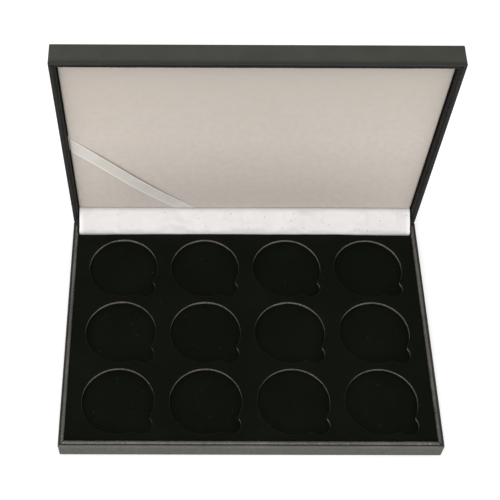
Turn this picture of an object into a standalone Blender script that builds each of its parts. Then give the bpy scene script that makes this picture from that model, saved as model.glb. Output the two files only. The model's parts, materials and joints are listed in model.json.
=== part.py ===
"""Hinged presentation case for twelve capsuled coins, standing open. Metres, +Z up.

The origin is the centre of the underside and +X runs along the hinge. The lid is modelled closed,
in a frame whose origin is the middle of the hinge axis, on an empty that turns it open.
"""
from math import cos, pi, radians, sin, sqrt

import bmesh
import bpy

# Driving dimensions of the case
WIDTH = 0.240
DEPTH = 0.170
BASE_HEIGHT = 0.014
LID_HEIGHT = 0.015
OPEN_ANGLE = radians(86.5)
COLUMNS = 4
ROWS = 3
RECESS_RADIUS = 0.0232
PITCH_X = 0.0559
PITCH_Y = 0.0505

# Clearances
GAP = 0.0003
MITRE_GAP = GAP * sqrt(2)
SKIN_GAP = 0.0002
PARTING_GAP = 0.00015

# Shell walls, from the outer face inwards
SKIN = 0.00035
CORNER_RADIUS = 0.0007
WALL_BOARD = 0.0009
BOARD_INSET = SKIN + SKIN_GAP
TURN_IN_INSET = BOARD_INSET + WALL_BOARD + SKIN_GAP
COLLAR_INSET = TURN_IN_INSET + SKIN + 0.0004
COLLAR = 0.0015
COLLAR_DROP = 0.0003
COLLAR_ROUNDING = 0.0006
INNER_INSET = COLLAR_INSET + COLLAR + GAP
TURN_IN_DEPTH = 0.0042
UNDER_MARGIN = 0.015

# Base, from the underside upwards
SHEET = 0.0004
SHEET_INSET = 0.004
WRAP_BOTTOM = 0.0006
BOTTOM_BOARD_LOW = WRAP_BOTTOM + SKIN + SKIN_GAP
BOTTOM_BOARD = 0.0016
BASE_INSIDE = BOTTOM_BOARD_LOW + BOTTOM_BOARD + SKIN_GAP
BASE_RIM = BASE_HEIGHT - PARTING_GAP

# Tray, from its top downwards
TRAY_TOP = 0.0126
TRAY_VELVET = 0.0005
TRAY_BOARD = 0.0029
FLOOR_VELVET = 0.0006
FLOOR_BOARD = 0.0016
TRAY_REAR = 0.0750
NOTCH_RADIUS = 0.30 * RECESS_RADIUS
NOTCH_REACH = 0.96 * RECESS_RADIUS
NOTCH_ANGLE = radians(-47)
RECESS_SIDES = 32
NOTCH_SIDES = 16

# Lid, in its own frame: heights above the hinge axis with the lid closed
LID_TOP_BOARD = 0.0018
LID_TOP_BOARD_HIGH = LID_HEIGHT - SKIN - SKIN_GAP
LID_TOP_BOARD_LOW = LID_TOP_BOARD_HIGH - LID_TOP_BOARD
LID_INSIDE = LID_TOP_BOARD_LOW - SKIN_GAP
PAD_BOARD = 0.0012
PAD_FACE = 0.0053
LINING = 0.0008
PAD_REAR = -0.0132
RIBBON_WIDTH = 0.0095
RIBBON = 0.00035
RIBBON_SIDE_Y = -0.0845
RIBBON_REAR_X = -0.0426

# Hinges, measured from their axis at the rear edge
HINGE_X = 0.072
HINGE_WIDTH = 0.022
NOTCH_CLEARANCE = 0.0005
NOTCH_HEIGHT = 0.0015
KNUCKLE_RADIUS = 0.0010
KNUCKLE_REACH = 0.0016
KNUCKLE_END = radians(195)
LEAF = 0.0005
PIN_RADIUS = 0.00055
MIDDLE_KNUCKLE = 0.0036
FLANGE_Y = -0.0044
FLANGE_LENGTH = 0.0090
TACK_X = 0.0070
TACK_Z = 0.0060
TACK_HEAD_RADIUS = 0.0013
TACK_HEAD = 0.0004
TACK_SHANK_RADIUS = 0.00045
TACK_LENGTH = 0.0031
TACK_HOLE_RADIUS = 0.00075
SPRING = 0.0003
SPRING_WIDTH = 0.007
SPRING_BEND = 0.0076
SPRING_LOW = -0.0080
SPRING_FAR = 0.0065
COVER_STRIP = 0.0005


def clear_scene():
    for thing in list(bpy.data.objects):
        bpy.data.objects.remove(thing, do_unlink=True)


def new_collection(name):
    collection = bpy.data.collections.new(name)
    bpy.context.scene.collection.children.link(collection)
    return collection


def finish(name, colour, roughness, metallic=0.0):
    made = bpy.data.materials.new(name)
    made.use_nodes = True
    shader = made.node_tree.nodes["Principled BSDF"]
    shader.inputs["Base Color"].default_value = (*colour, 1.0)
    shader.inputs["Roughness"].default_value = roughness
    shader.inputs["Metallic"].default_value = metallic
    return made


def add_object(name, shape, material, parent=None):
    """Turn a bmesh into a named piece of the case."""
    mesh = bpy.data.meshes.new(name)
    shape.to_mesh(mesh)
    shape.free()
    mesh.materials.append(material)
    piece = bpy.data.objects.new(name, mesh)
    piece.parent = parent
    CASE.objects.link(piece)
    return piece


def cube(size):
    """A bmesh box of the given size about the origin."""
    shape = bmesh.new()
    bmesh.ops.create_cube(shape, size=1.0)
    bmesh.ops.scale(shape, vec=size, verts=shape.verts)
    return shape


def block(name, low, high, material, parent=None):
    """A box between two corners."""
    size = [h - l for l, h in zip(low, high)]
    piece = add_object(name, cube(size), material, parent)
    piece.location = [(l + h) / 2 for l, h in zip(low, high)]
    return piece


def cutter_from(shape, name, parent=None):
    mesh = bpy.data.meshes.new(name)
    shape.to_mesh(mesh)
    shape.free()
    tool = bpy.data.objects.new(name, mesh)
    tool.parent = parent
    tool.hide_render = True
    tool.display_type = "WIRE"
    CUTTERS.objects.link(tool)
    return tool


def cut(piece, tool):
    boolean = piece.modifiers.new(tool.name, "BOOLEAN")
    boolean.operation = "DIFFERENCE"
    boolean.object = tool


def add_solidify(piece, thickness):
    solidify = piece.modifiers.new("thickness", "SOLIDIFY")
    solidify.thickness = thickness
    solidify.offset = 0.0
    solidify.use_even_offset = True


def arc(centre, radius, start, end, steps):
    """Points along an arc in a plane, both ends included."""
    turns = [start + (end - start) * step / steps for step in range(steps + 1)]
    return [(centre[0] + radius * cos(a), centre[1] + radius * sin(a)) for a in turns]


def rounded_rectangle(half_x, half_y, radius, steps=3):
    corners = ((1, 1, 0.0), (-1, 1, pi / 2), (-1, -1, pi), (1, -1, 3 * pi / 2))
    points = []
    for side_x, side_y, start in corners:
        centre = (side_x * (half_x - radius), side_y * (half_y - radius))
        points += arc(centre, radius, start, start + pi / 2, steps)
    return points


def wrapped_skin(name, profile, material, centre_y=0.0, parent=None, closed_end=False):
    """Leatherette round the four walls: the profile gives its inset and height at each fold."""
    shape = bmesh.new()
    rings = []
    for inset, height in profile:
        radius = max(CORNER_RADIUS - inset, 0.0002)
        outline = rounded_rectangle(WIDTH / 2 - inset, DEPTH / 2 - inset, radius)
        rings.append([shape.verts.new((x, y, height)) for x, y in outline])
    for lower, upper in zip(rings, rings[1:]):
        for i in range(len(lower)):
            shape.faces.new((lower[i - 1], lower[i], upper[i], upper[i - 1]))
    if closed_end:
        shape.faces.new(rings[-1])
    bmesh.ops.recalc_face_normals(shape, faces=shape.faces)
    piece = add_object(name, shape, material, parent)
    piece.location.y = centre_y
    add_solidify(piece, SKIN)
    return piece


def collar_strip(name, length, height, turn, material, rim_up, parent=None):
    """A mitred strip with its rim edges rounded, its outer face towards local -Y before it turns."""
    shape = cube((length, COLLAR, height))
    for corner in shape.verts:
        if corner.co.y > 0:
            corner.co.x -= COLLAR if corner.co.x > 0 else -COLLAR
    rim = height / 2 if rim_up else -height / 2
    along = [
        edge for edge in shape.edges
        if all(abs(v.co.z - rim) < 1e-6 for v in edge.verts)
        and abs(edge.verts[0].co.y - edge.verts[1].co.y) < 1e-6
    ]
    bmesh.ops.bevel(shape, geom=along, offset=COLLAR_ROUNDING, segments=3, profile=0.5, affect="EDGES")
    piece = add_object(name, shape, material, parent)
    piece.rotation_euler.z = turn
    return piece


def add_collar(prefix, centre_y, low, high, material, rim_up, parent=None):
    """Four collar strips inside the walls. Returns the rear one, which the hinges cut into."""
    reach_x = WIDTH / 2 - COLLAR_INSET
    reach_y = DEPTH / 2 - COLLAR_INSET
    middle = COLLAR / 2
    sides = (
        ("front", reach_x, 0.0, 0.0, -reach_y + middle),
        ("rear", reach_x, pi, 0.0, reach_y - middle),
        ("left", reach_y, -pi / 2, -reach_x + middle, 0.0),
        ("right", reach_y, pi / 2, reach_x - middle, 0.0),
    )
    strips = {}
    for side, reach, turn, x, y in sides:
        length = 2 * reach - MITRE_GAP
        strip = collar_strip(f"{prefix}_{side}_collar", length, high - low, turn, material, rim_up, parent)
        strip.location = (x, centre_y + y, (low + high) / 2)
        strips[side] = strip
    return strips["rear"]


def add_wall_boards(prefix, centre_y, low, high, material, parent=None):
    """Four wall boards. Returns the rear one, which the hinges cut into."""
    half_x = WIDTH / 2 - BOARD_INSET
    half_y = DEPTH / 2 - BOARD_INSET
    inner_x = half_x - WALL_BOARD
    inner_y = half_y - WALL_BOARD
    side_y = inner_y - GAP
    spans = {
        "front": ((-half_x, -half_y), (half_x, -inner_y)),
        "rear": ((-half_x, inner_y), (half_x, half_y)),
        "left": ((-half_x, -side_y), (-inner_x, side_y)),
        "right": ((inner_x, -side_y), (half_x, side_y)),
    }
    boards = {}
    for side, ((x0, y0), (x1, y1)) in spans.items():
        corner_low = (x0, centre_y + y0, low)
        corner_high = (x1, centre_y + y1, high)
        boards[side] = block(f"{prefix}_{side}_board", corner_low, corner_high, material, parent)
    return boards["rear"]


def base_shell(leatherette, board, paper):
    """The bottom, the walls and the leatherette that is turned over the rim and under the bottom."""
    half_x = WIDTH / 2 - BOARD_INSET
    half_y = DEPTH / 2 - BOARD_INSET
    bottom_high = BOTTOM_BOARD_LOW + BOTTOM_BOARD
    block("base_bottom_board", (-half_x, -half_y, BOTTOM_BOARD_LOW), (half_x, half_y, bottom_high), board)
    rear_board = add_wall_boards("base", 0.0, BASE_INSIDE, BASE_RIM - SKIN - SKIN_GAP, board)
    rear_collar = add_collar("base", 0.0, BASE_INSIDE, BASE_RIM - COLLAR_DROP, leatherette, True)

    middle = SKIN / 2
    bend = CORNER_RADIUS - middle
    under = WRAP_BOTTOM + middle
    rim = BASE_RIM - middle
    inner = TURN_IN_INSET + middle
    profile = [(UNDER_MARGIN, under)]
    profile += arc((middle + bend, under + bend), bend, -pi / 2, -pi, 3)
    profile += arc((middle + bend, rim - bend), bend, pi, pi / 2, 3)
    profile += arc((inner - bend, rim - bend), bend, pi / 2, 0, 3)
    profile.append((inner, rim - TURN_IN_DEPTH))
    wrap = wrapped_skin("base_leatherette_wrap", profile, leatherette)

    sheet_x = WIDTH / 2 - SHEET_INSET
    sheet_y = DEPTH / 2 - SHEET_INSET
    block("base_underside_sheet", (-sheet_x, -sheet_y, 0.0), (sheet_x, sheet_y, SHEET), paper)
    return [rear_board, rear_collar, wrap]


def lid_shell(leatherette, board, hinge_axis):
    """The top, the walls and one leatherette skin over them, in the frame of the closed lid."""
    centre_y = -DEPTH / 2
    half_x = WIDTH / 2 - BOARD_INSET
    front = -DEPTH + BOARD_INSET
    low = (-half_x, front, LID_TOP_BOARD_LOW)
    high = (half_x, -BOARD_INSET, LID_TOP_BOARD_HIGH)
    block("lid_top_board", low, high, board, hinge_axis)
    rim_low = PARTING_GAP + SKIN + SKIN_GAP
    rear_board = add_wall_boards("lid", centre_y, rim_low, LID_INSIDE, board, hinge_axis)
    collar_low = PARTING_GAP + COLLAR_DROP
    rear_collar = add_collar("lid", centre_y, collar_low, LID_INSIDE, leatherette, False, hinge_axis)

    middle = SKIN / 2
    bend = CORNER_RADIUS - middle
    rim = PARTING_GAP + middle
    top = LID_HEIGHT - middle
    inner = TURN_IN_INSET + middle
    profile = [(inner, rim + TURN_IN_DEPTH)]
    profile += arc((inner - bend, rim + bend), bend, 0, -pi / 2, 3)
    profile += arc((middle + bend, rim + bend), bend, -pi / 2, -pi, 3)
    profile += arc((middle + bend, top - bend), bend, pi, pi / 2, 3)
    wrap = wrapped_skin("lid_leatherette_wrap", profile, leatherette, centre_y, hinge_axis, True)
    return [rear_board, rear_collar, wrap]


def recess_centres():
    """The middles of the recesses, row by row, on the tray's own centre."""
    middle_y = (TRAY_REAR - (DEPTH / 2 - INNER_INSET)) / 2
    for row in range(ROWS):
        for column in range(COLUMNS):
            x = (column - (COLUMNS - 1) / 2) * PITCH_X
            y = middle_y + (row - (ROWS - 1) / 2) * PITCH_Y
            yield x, y


def disc_cutter(name, radius, sides, offset_x=0.0, offset_y=0.0):
    """One upright punch at every recess, shifted by the offset."""
    shape = bmesh.new()
    for x, y in recess_centres():
        made = bmesh.ops.create_cone(
            shape, cap_ends=True, segments=sides, radius1=radius, radius2=radius, depth=2 * BASE_HEIGHT)
        bmesh.ops.translate(shape, vec=(x + offset_x, y + offset_y, TRAY_TOP), verts=made["verts"])
    return cutter_from(shape, name)


def tray(velvet, board, foam):
    """A velvet-faced board with punched recesses, over a velvet floor, its board and a foam underlay."""
    half_x = WIDTH / 2 - INNER_INSET
    front = -DEPTH / 2 + INNER_INSET

    def layer(name, high, thickness, material):
        low = high - thickness
        piece = block(name, (-half_x, front, low), (half_x, TRAY_REAR, high), material)
        return piece, low - SKIN_GAP

    top_skin, below = layer("tray_velvet", TRAY_TOP, TRAY_VELVET, velvet)
    top_board, below = layer("tray_board", below, TRAY_BOARD, board)
    _, below = layer("tray_floor_velvet", below, FLOOR_VELVET, velvet)
    _, below = layer("tray_floor_board", below, FLOOR_BOARD, board)
    layer("tray_foam_underlay", below, below - BASE_INSIDE, foam)

    punches = (
        disc_cutter("recess_punch", RECESS_RADIUS, RECESS_SIDES),
        disc_cutter(
            "finger_notch_punch", NOTCH_RADIUS, NOTCH_SIDES,
            NOTCH_REACH * cos(NOTCH_ANGLE), NOTCH_REACH * sin(NOTCH_ANGLE)),
    )
    for piece in (top_skin, top_board):
        for punch in punches:
            cut(piece, punch)


def lid_pad(lining, board, foam, ribbon, hinge_axis):
    """A lined foam pad on a board inside the lid, with a ribbon across one of its rear corners."""
    half_x = WIDTH / 2 - INNER_INSET
    front = -DEPTH + INNER_INSET

    def layer(name, low, high, material):
        block(name, (-half_x, front, low), (half_x, PAD_REAR, high), material, hinge_axis)

    board_low = LID_INSIDE - PAD_BOARD
    layer("lid_pad_board", board_low, LID_INSIDE - SKIN_GAP, board)
    layer("lid_pad_foam", PAD_FACE + LINING + SKIN_GAP, board_low - SKIN_GAP, foam)
    layer("lid_lining", PAD_FACE, PAD_FACE + LINING, lining)

    side_x = -half_x
    rear_y = PAD_REAR
    across_y = RIBBON_WIDTH / (2 * cos(pi / 4))
    corners = (
        (side_x, RIBBON_SIDE_Y + across_y),
        (side_x, RIBBON_SIDE_Y - across_y),
        (RIBBON_REAR_X + across_y, rear_y),
        (RIBBON_REAR_X - across_y, rear_y),
    )
    outline = bpy.data.curves.new("lid_ribbon", "CURVE")
    outline.dimensions = "2D"
    outline.fill_mode = "BOTH"
    outline.extrude = RIBBON / 2
    path = outline.splines.new("POLY")
    path.points.add(len(corners) - 1)
    for point, (x, y) in zip(path.points, corners):
        point.co = (x, y, 0.0, 1.0)
    path.use_cyclic_u = True
    outline.materials.append(ribbon)
    piece = bpy.data.objects.new("lid_ribbon", outline)
    piece.parent = hinge_axis
    piece.location.z = PAD_FACE - GAP - RIBBON / 2
    CASE.objects.link(piece)


def bent_sheet(name, path, x_low, x_high, thickness, material, parent=None):
    """Sheet that follows a path across Y and Z, straight along X."""
    shape = bmesh.new()
    side = [shape.verts.new((x_low, y, z)) for y, z in path]
    edges = [shape.edges.new(pair) for pair in zip(side, side[1:])]
    drawn = bmesh.ops.extrude_edge_only(shape, edges=edges)
    ends = [item for item in drawn["geom"] if isinstance(item, bmesh.types.BMVert)]
    bmesh.ops.translate(shape, vec=(x_high - x_low, 0, 0), verts=ends)
    bmesh.ops.recalc_face_normals(shape, faces=shape.faces)
    piece = add_object(name, shape, material, parent)
    add_solidify(piece, thickness)
    return piece


def box_cutter(name, low, high, parent=None):
    shape = cube([h - l for l, h in zip(low, high)])
    tool = cutter_from(shape, name, parent)
    tool.location = [(l + h) / 2 for l, h in zip(low, high)]
    return tool


def hinge_leaf(name, side, x, material, parent):
    """A leaf with a rolled knuckle round the hinge axis: side is -1 for the base, 1 for the lid."""
    bend = LEAF / 2
    plate = side * KNUCKLE_RADIUS
    path = [(FLANGE_Y, side * FLANGE_LENGTH), (FLANGE_Y, plate + side * bend), (FLANGE_Y + bend, plate)]
    path += arc((0.0, 0.0), KNUCKLE_RADIUS, side * pi / 2, -side * KNUCKLE_END, 14)
    half = HINGE_WIDTH / 2
    leaf = bent_sheet(name, path, -half, half, LEAF, material, parent)
    leaf.location.x = x
    return leaf


def knuckle_cutter(name, x, spans, parent):
    """Clears the other leaf's knuckles: each span is a low and a high X from the hinge's middle."""
    shape = bmesh.new()
    reach = 3 * KNUCKLE_REACH
    for low, high in spans:
        made = bmesh.ops.create_cube(shape, size=1.0)
        bmesh.ops.scale(shape, vec=(high - low, reach, reach), verts=made["verts"])
        middle = (low + high) / 2
        bmesh.ops.translate(shape, vec=(middle, reach / 2 - KNUCKLE_REACH, 0), verts=made["verts"])
    tool = cutter_from(shape, name, parent)
    tool.location.x = x
    return tool


def tack_holes(name, x, z, parent):
    """Two punches along Y through a flange and the collar behind it."""
    shape = bmesh.new()
    for place in (-TACK_X, TACK_X):
        made = bmesh.ops.create_cone(
            shape, cap_ends=True, segments=12, radius1=TACK_HOLE_RADIUS, radius2=TACK_HOLE_RADIUS,
            depth=2 * TACK_LENGTH)
        bmesh.ops.translate(shape, vec=(place, 0, 0), verts=made["verts"])
    tool = cutter_from(shape, name, parent)
    tool.rotation_euler.x = pi / 2
    tool.location = (x, FLANGE_Y, z)
    return tool


def tack(name, x, z, material, parent):
    """A flat-headed tack that points at the rear wall."""
    profile = (
        (0.0, 0.0),
        (TACK_HEAD_RADIUS, 0.0),
        (TACK_HEAD_RADIUS, -TACK_HEAD),
        (TACK_SHANK_RADIUS, -TACK_HEAD),
        (TACK_SHANK_RADIUS, -TACK_LENGTH),
        (0.0, -TACK_LENGTH),
    )
    shape = bmesh.new()
    points = [shape.verts.new((radius, 0.0, height)) for radius, height in profile]
    for pair in zip(points, points[1:]):
        shape.edges.new(pair)
    piece = add_object(name, shape, material, parent)
    turned = piece.modifiers.new("turned", "SCREW")
    turned.steps = 12
    turned.render_steps = 12
    turned.use_merge_vertices = True
    turned.merge_threshold = 0.00001
    piece.rotation_euler.x = pi / 2
    piece.location = (x, FLANGE_Y - LEAF / 2 - GAP - TACK_HEAD, z)


def hinge(hand, x, steel, base_axis, lid_axis, base_walls, lid_walls):
    """A spring hinge: two leaves on a pin, four tacks and a bow spring between the leaves."""
    half = HINGE_WIDTH / 2
    room = half + NOTCH_CLEARANCE
    wall = INNER_INSET
    middle = ((-MIDDLE_KNUCKLE - GAP, MIDDLE_KNUCKLE + GAP),)
    outer = ((-half - GAP, -MIDDLE_KNUCKLE), (MIDDLE_KNUCKLE, half + GAP))
    leaves = (
        ("base", -1, base_axis, base_walls, middle),
        ("lid", 1, lid_axis, lid_walls, outer),
    )
    for part, side, axis, walls, cleared in leaves:
        leaf = hinge_leaf(f"hinge_{part}_leaf_{hand}", side, x, steel, axis)
        cut(leaf, knuckle_cutter(f"{part}_knuckle_cutter_{hand}", x, cleared, axis))
        holes = tack_holes(f"{part}_tack_holes_{hand}", x, side * TACK_Z, axis)
        cut(leaf, holes)
        heights = sorted((-side * NOTCH_HEIGHT, side * NOTCH_HEIGHT))
        notch = box_cutter(
            f"{part}_hinge_notch_{hand}", (x - room, -wall, heights[0]), (x + room, wall, heights[1]), axis)
        for board in walls:
            cut(board, notch)
        rear_collar = walls[1]
        cut(rear_collar, holes)
        for place, mark in ((-TACK_X, "a"), (TACK_X, "b")):
            tack(f"hinge_{part}_tack_{hand}_{mark}", x + place, side * TACK_Z, steel, axis)

    shape = bmesh.new()
    bmesh.ops.create_cone(
        shape, cap_ends=True, segments=16, radius1=PIN_RADIUS, radius2=PIN_RADIUS, depth=HINGE_WIDTH)
    pin = add_object(f"hinge_pin_{hand}", shape, steel, base_axis)
    pin.rotation_euler.y = pi / 2
    pin.location.x = x

    start_y = FLANGE_Y - LEAF / 2 - GAP - SPRING / 2
    lid_z = GAP - start_y
    path = [(start_y, SPRING_LOW), (start_y, SPRING_LOW / 2)]
    path += arc((start_y + SPRING_BEND, lid_z - SPRING_BEND), SPRING_BEND, pi, pi / 2, 8)
    path.append((SPRING_FAR, lid_z + SPRING_FAR * cos(OPEN_ANGLE)))
    half_spring = SPRING_WIDTH / 2
    spring = bent_sheet(
        f"hinge_spring_{hand}", path, -half_spring, half_spring, SPRING, steel, base_axis)
    spring.location.x = x


def cover_strip(satin, base_axis):
    """Satin strip from behind the lid pad, over the hinges in a soft bow, down behind the tray."""
    half = WIDTH / 2 - INNER_INSET
    path = (
        (0.0097, 0.0129),
        (0.0054, 0.0127),
        (0.0015, 0.0129),
        (-0.0025, 0.0121),
        (-0.0057, 0.0097),
        (-0.0075, 0.0063),
        (-0.0086, 0.0025),
        (-0.0091, -0.0014),
        (-0.0092, -0.0100),
    )
    bent_sheet("hinge_cover_strip", path, -half, half, COVER_STRIP, satin, base_axis)


def axis_empty(name, turn):
    """An empty on the hinge axis, turned by the given angle about it."""
    empty = bpy.data.objects.new(name, None)
    empty.empty_display_size = 0.01
    empty.location = (0.0, DEPTH / 2, BASE_HEIGHT)
    empty.rotation_euler.x = turn
    CASE.objects.link(empty)
    return empty


def build_case():
    leatherette = finish("black_leatherette", (0.035, 0.035, 0.032), 0.45)
    board = finish("grey_board", (0.28, 0.25, 0.21), 0.9)
    velvet = finish("black_velvet", (0.006, 0.007, 0.005), 0.95)
    foam = finish("foam", (0.55, 0.55, 0.52), 0.95)
    lining = finish("flocked_lining", (0.58, 0.52, 0.47), 0.9)
    satin = finish("white_satin", (0.80, 0.78, 0.76), 0.4)
    ribbon = finish("ribbon_satin", (0.62, 0.57, 0.50), 0.4)
    paper = finish("black_paper", (0.02, 0.02, 0.02), 0.85)
    steel = finish("hinge_steel", (0.55, 0.55, 0.56), 0.3, 1.0)

    base_axis = axis_empty("hinge_axis", 0.0)
    lid_axis = axis_empty("lid_axis", -OPEN_ANGLE)
    base_walls = base_shell(leatherette, board, paper)
    lid_walls = lid_shell(leatherette, board, lid_axis)
    tray(velvet, board, foam)
    lid_pad(lining, board, foam, ribbon, lid_axis)
    for hand, x in (("left", -HINGE_X), ("right", HINGE_X)):
        hinge(hand, x, steel, base_axis, lid_axis, base_walls, lid_walls)
    cover_strip(satin, base_axis)


clear_scene()
CASE = new_collection("coin_case")
CUTTERS = new_collection("coin_case_cutters")
build_case()
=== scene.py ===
# %% [markdown]
# # A presentation case for twelve coins, standing open
#
# The real case is two shallow greyboard trays, covered in black leatherette and joined by two small
# spring hinges. The lower tray holds a velvet-faced board with twelve punched recesses. The lid holds
# a foam pad under flocked lining, with a ribbon across one corner, and a satin strip hides the hinges.
#
# The CAD model is the fixed frame. It is loaded first, and every visible piece below takes its place
# from it, in metres. Hard parts that are right stay as they are and only get a finish. Soft parts are
# made again here, as the cloth, leatherette and foam that they are.

# %% Load the frame
from math import ceil, cos, hypot, pi, radians, sin, sqrt

import bmesh
import bpy
import json
import numpy as np
from mathutils import Matrix, Vector, noise


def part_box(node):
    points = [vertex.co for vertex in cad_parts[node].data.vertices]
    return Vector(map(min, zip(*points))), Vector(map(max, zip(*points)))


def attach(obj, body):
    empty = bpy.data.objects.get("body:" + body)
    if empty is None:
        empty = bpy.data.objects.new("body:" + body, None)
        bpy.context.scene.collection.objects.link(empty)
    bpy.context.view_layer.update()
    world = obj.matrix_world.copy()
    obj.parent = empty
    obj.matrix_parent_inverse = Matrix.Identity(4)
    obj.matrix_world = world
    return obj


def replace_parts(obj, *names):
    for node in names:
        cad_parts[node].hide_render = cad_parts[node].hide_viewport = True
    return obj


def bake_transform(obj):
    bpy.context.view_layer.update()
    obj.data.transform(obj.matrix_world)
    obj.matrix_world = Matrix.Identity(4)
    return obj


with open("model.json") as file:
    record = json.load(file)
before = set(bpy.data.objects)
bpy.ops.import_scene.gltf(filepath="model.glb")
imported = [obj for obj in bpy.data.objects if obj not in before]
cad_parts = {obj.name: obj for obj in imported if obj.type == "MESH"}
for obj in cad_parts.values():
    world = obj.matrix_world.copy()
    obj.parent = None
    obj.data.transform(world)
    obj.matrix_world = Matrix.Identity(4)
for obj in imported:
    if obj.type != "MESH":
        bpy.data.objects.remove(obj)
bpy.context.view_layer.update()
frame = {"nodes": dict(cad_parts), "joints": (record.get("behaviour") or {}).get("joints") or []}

# %% [markdown]
# ## Two frames of reference
# The base is easy: its own axes are the world's. The lid stands open at an angle, so its pieces are
# easier to shape as if it were shut and level, and then turned open. The joint in the frame's record
# gives the hinge axis and how far the lid opens, so nothing here has to be guessed.

# %% The hinge, and the lid's own frame
joint = frame["joints"][0]
HINGE = Vector(joint["pos_m"])
OPEN_ANGLE = radians(joint["range_deg"][1])
OPENED = Matrix.Translation(HINGE) @ Matrix.Rotation(-OPEN_ANGLE, 4, "X")
SHUT = OPENED.inverted()


def lid_box(node):
    """The corners of a lid part in the lid's own frame, as if it were shut and level."""
    corners = np.array([SHUT @ v.co for v in frame["nodes"][node].data.vertices])
    return Vector(corners.min(0)), Vector(corners.max(0))


print("hinge at", [round(v, 4) for v in HINGE], "opens to", joint["range_deg"][1], "degrees")

# %% [markdown]
# ## The camera
# The case is seen from above and in front, a little to the left. The lens is long for so near a view,
# which keeps the far rim from shrinking too much. A camera's place can be worked out from the known
# sizes of the case and where its corners should fall, and that is where these numbers come from. The
# small shift only sets the case in the frame.

# %% Camera
CAMERA_PLACE = Vector((-0.03862, -0.36147, 0.64360))
CAMERA_PITCH, CAMERA_YAW, CAMERA_ROLL = radians(56.63), radians(0.29), radians(-0.425)
LENS, SENSOR = 78.87, 36.0
SHIFT = (0.1150, 0.0194)


def camera_turn(pitch, yaw, roll):
    """Looks down by pitch, to the right by yaw, and is rolled about its own line of sight."""
    ahead = Vector((sin(yaw) * cos(pitch), cos(yaw) * cos(pitch), -sin(pitch)))
    right = Vector((cos(yaw), -sin(yaw), 0.0))
    down = ahead.cross(right)
    rolled_right = cos(roll) * right + sin(roll) * down
    rolled_down = cos(roll) * down - sin(roll) * right
    return Matrix((rolled_right, -rolled_down, -ahead)).transposed()


camera = bpy.data.objects.new("camera", bpy.data.cameras.new("camera"))
bpy.context.scene.collection.objects.link(camera)
camera.data.lens, camera.data.sensor_width = LENS, SENSOR
camera.data.shift_x, camera.data.shift_y = SHIFT
camera.data.clip_start = 0.01
turn = camera_turn(CAMERA_PITCH, CAMERA_YAW, CAMERA_ROLL)
camera.matrix_world = Matrix.Translation(CAMERA_PLACE) @ turn.to_4x4()
bpy.context.scene.camera = camera
print("camera at", [round(v, 3) for v in CAMERA_PLACE])

# %% [markdown]
# ## Light and floor
# Black leatherette and black velvet show only what they reflect, so the room has to be large, white
# and even. A white world does half of it. A wide soft lamp low in front reaches into the open lid, one
# above gives the satin and the rims their direction, and a weak one behind keeps the back from going
# flat. The floor is a lit sheet, as on a light table, which keeps its shadows faint.

# %% Light and floor
ROOM_LIGHT, FLOOR_GLOW, FLOOR_REACH = 0.60, 0.30, 4.0
FLOOR_DROP = 0.0002
WHITE = (1.0, 1.0, 1.0, 1.0)

scene = bpy.context.scene
scene.view_settings.view_transform = "Standard"
world = bpy.data.worlds.new("white room")
scene.world = world
world.use_nodes = True
world.node_tree.nodes["Background"].inputs["Color"].default_value = WHITE
world.node_tree.nodes["Background"].inputs["Strength"].default_value = ROOM_LIGHT


def soft_lamp(name, place, target, size, power):
    """A square area lamp that faces its target."""
    data = bpy.data.lights.new(name, "AREA")
    data.shape, data.size, data.energy = "SQUARE", size, power
    lamp = bpy.data.objects.new(name, data)
    scene.collection.objects.link(lamp)
    lamp.location = place
    lamp.rotation_euler = (Vector(target) - Vector(place)).to_track_quat("-Z", "Y").to_euler()


soft_lamp("lamp front", (0.0, -1.30, 0.35), (0.0, 0.0, 0.08), 0.9, 6.0)
soft_lamp("lamp above", (-0.15, -0.45, 1.25), (0.0, 0.0, 0.05), 0.9, 7.0)
soft_lamp("lamp back", (-0.70, 1.05, 0.90), (0.0, 0.0, 0.05), 0.8, 1.4)

floor_mesh = bpy.data.meshes.new("floor")
floor_mesh.from_pydata([(x * FLOOR_REACH, y * FLOOR_REACH, -FLOOR_DROP)
                        for x, y in ((-1, -1), (1, -1), (1, 1), (-1, 1))], [], [(0, 1, 2, 3)])
floor = bpy.data.objects.new("floor", floor_mesh)
scene.collection.objects.link(floor)
print("floor", 2 * FLOOR_REACH, "m wide, three soft lamps")

# %% [markdown]
# ## Helpers for finishes
# Every finish here is made of nodes: some noise or a cell pattern, read in metres on the piece's own
# object coordinates, drives the colour, the roughness and a fine relief. Small helpers keep the recipes
# short. A number that is the same all over goes straight onto the shader's own socket.

# %% Helpers for finishes
def add(tree, kind, inputs=None, **settings):
    """A node with its settings, and its inputs either set or linked."""
    made = tree.nodes.new(kind)
    for key, value in settings.items():
        setattr(made, key, value)
    for key, value in (inputs or {}).items():
        if isinstance(value, bpy.types.NodeSocket):
            tree.links.new(value, made.inputs[key])
        else:
            made.inputs[key].default_value = value
    return made


def new_finish(name, roughness, specular=0.5, **more):
    """A material, its node tree, its shader and the object coordinates in metres."""
    made = bpy.data.materials.new(name)
    made.use_nodes = True
    tree = made.node_tree
    shader = tree.nodes["Principled BSDF"]
    shader.inputs["Roughness"].default_value = roughness
    shader.inputs["Specular IOR Level"].default_value = specular
    for key, value in more.items():
        shader.inputs[key.replace("_", " ")].default_value = value
    return made, tree, shader, add(tree, "ShaderNodeTexCoord").outputs["Object"]


def speckle(tree, coords, scale, detail=3.0, stretch=None):
    """Noise of so many spots to the metre, stretched if asked, as a value round a half."""
    if stretch:
        coords = add(tree, "ShaderNodeMapping", {"Vector": coords, "Scale": stretch}).outputs[0]
    made = add(tree, "ShaderNodeTexNoise", {"Vector": coords, "Scale": scale, "Detail": detail})
    return made.outputs["Fac"]


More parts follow.
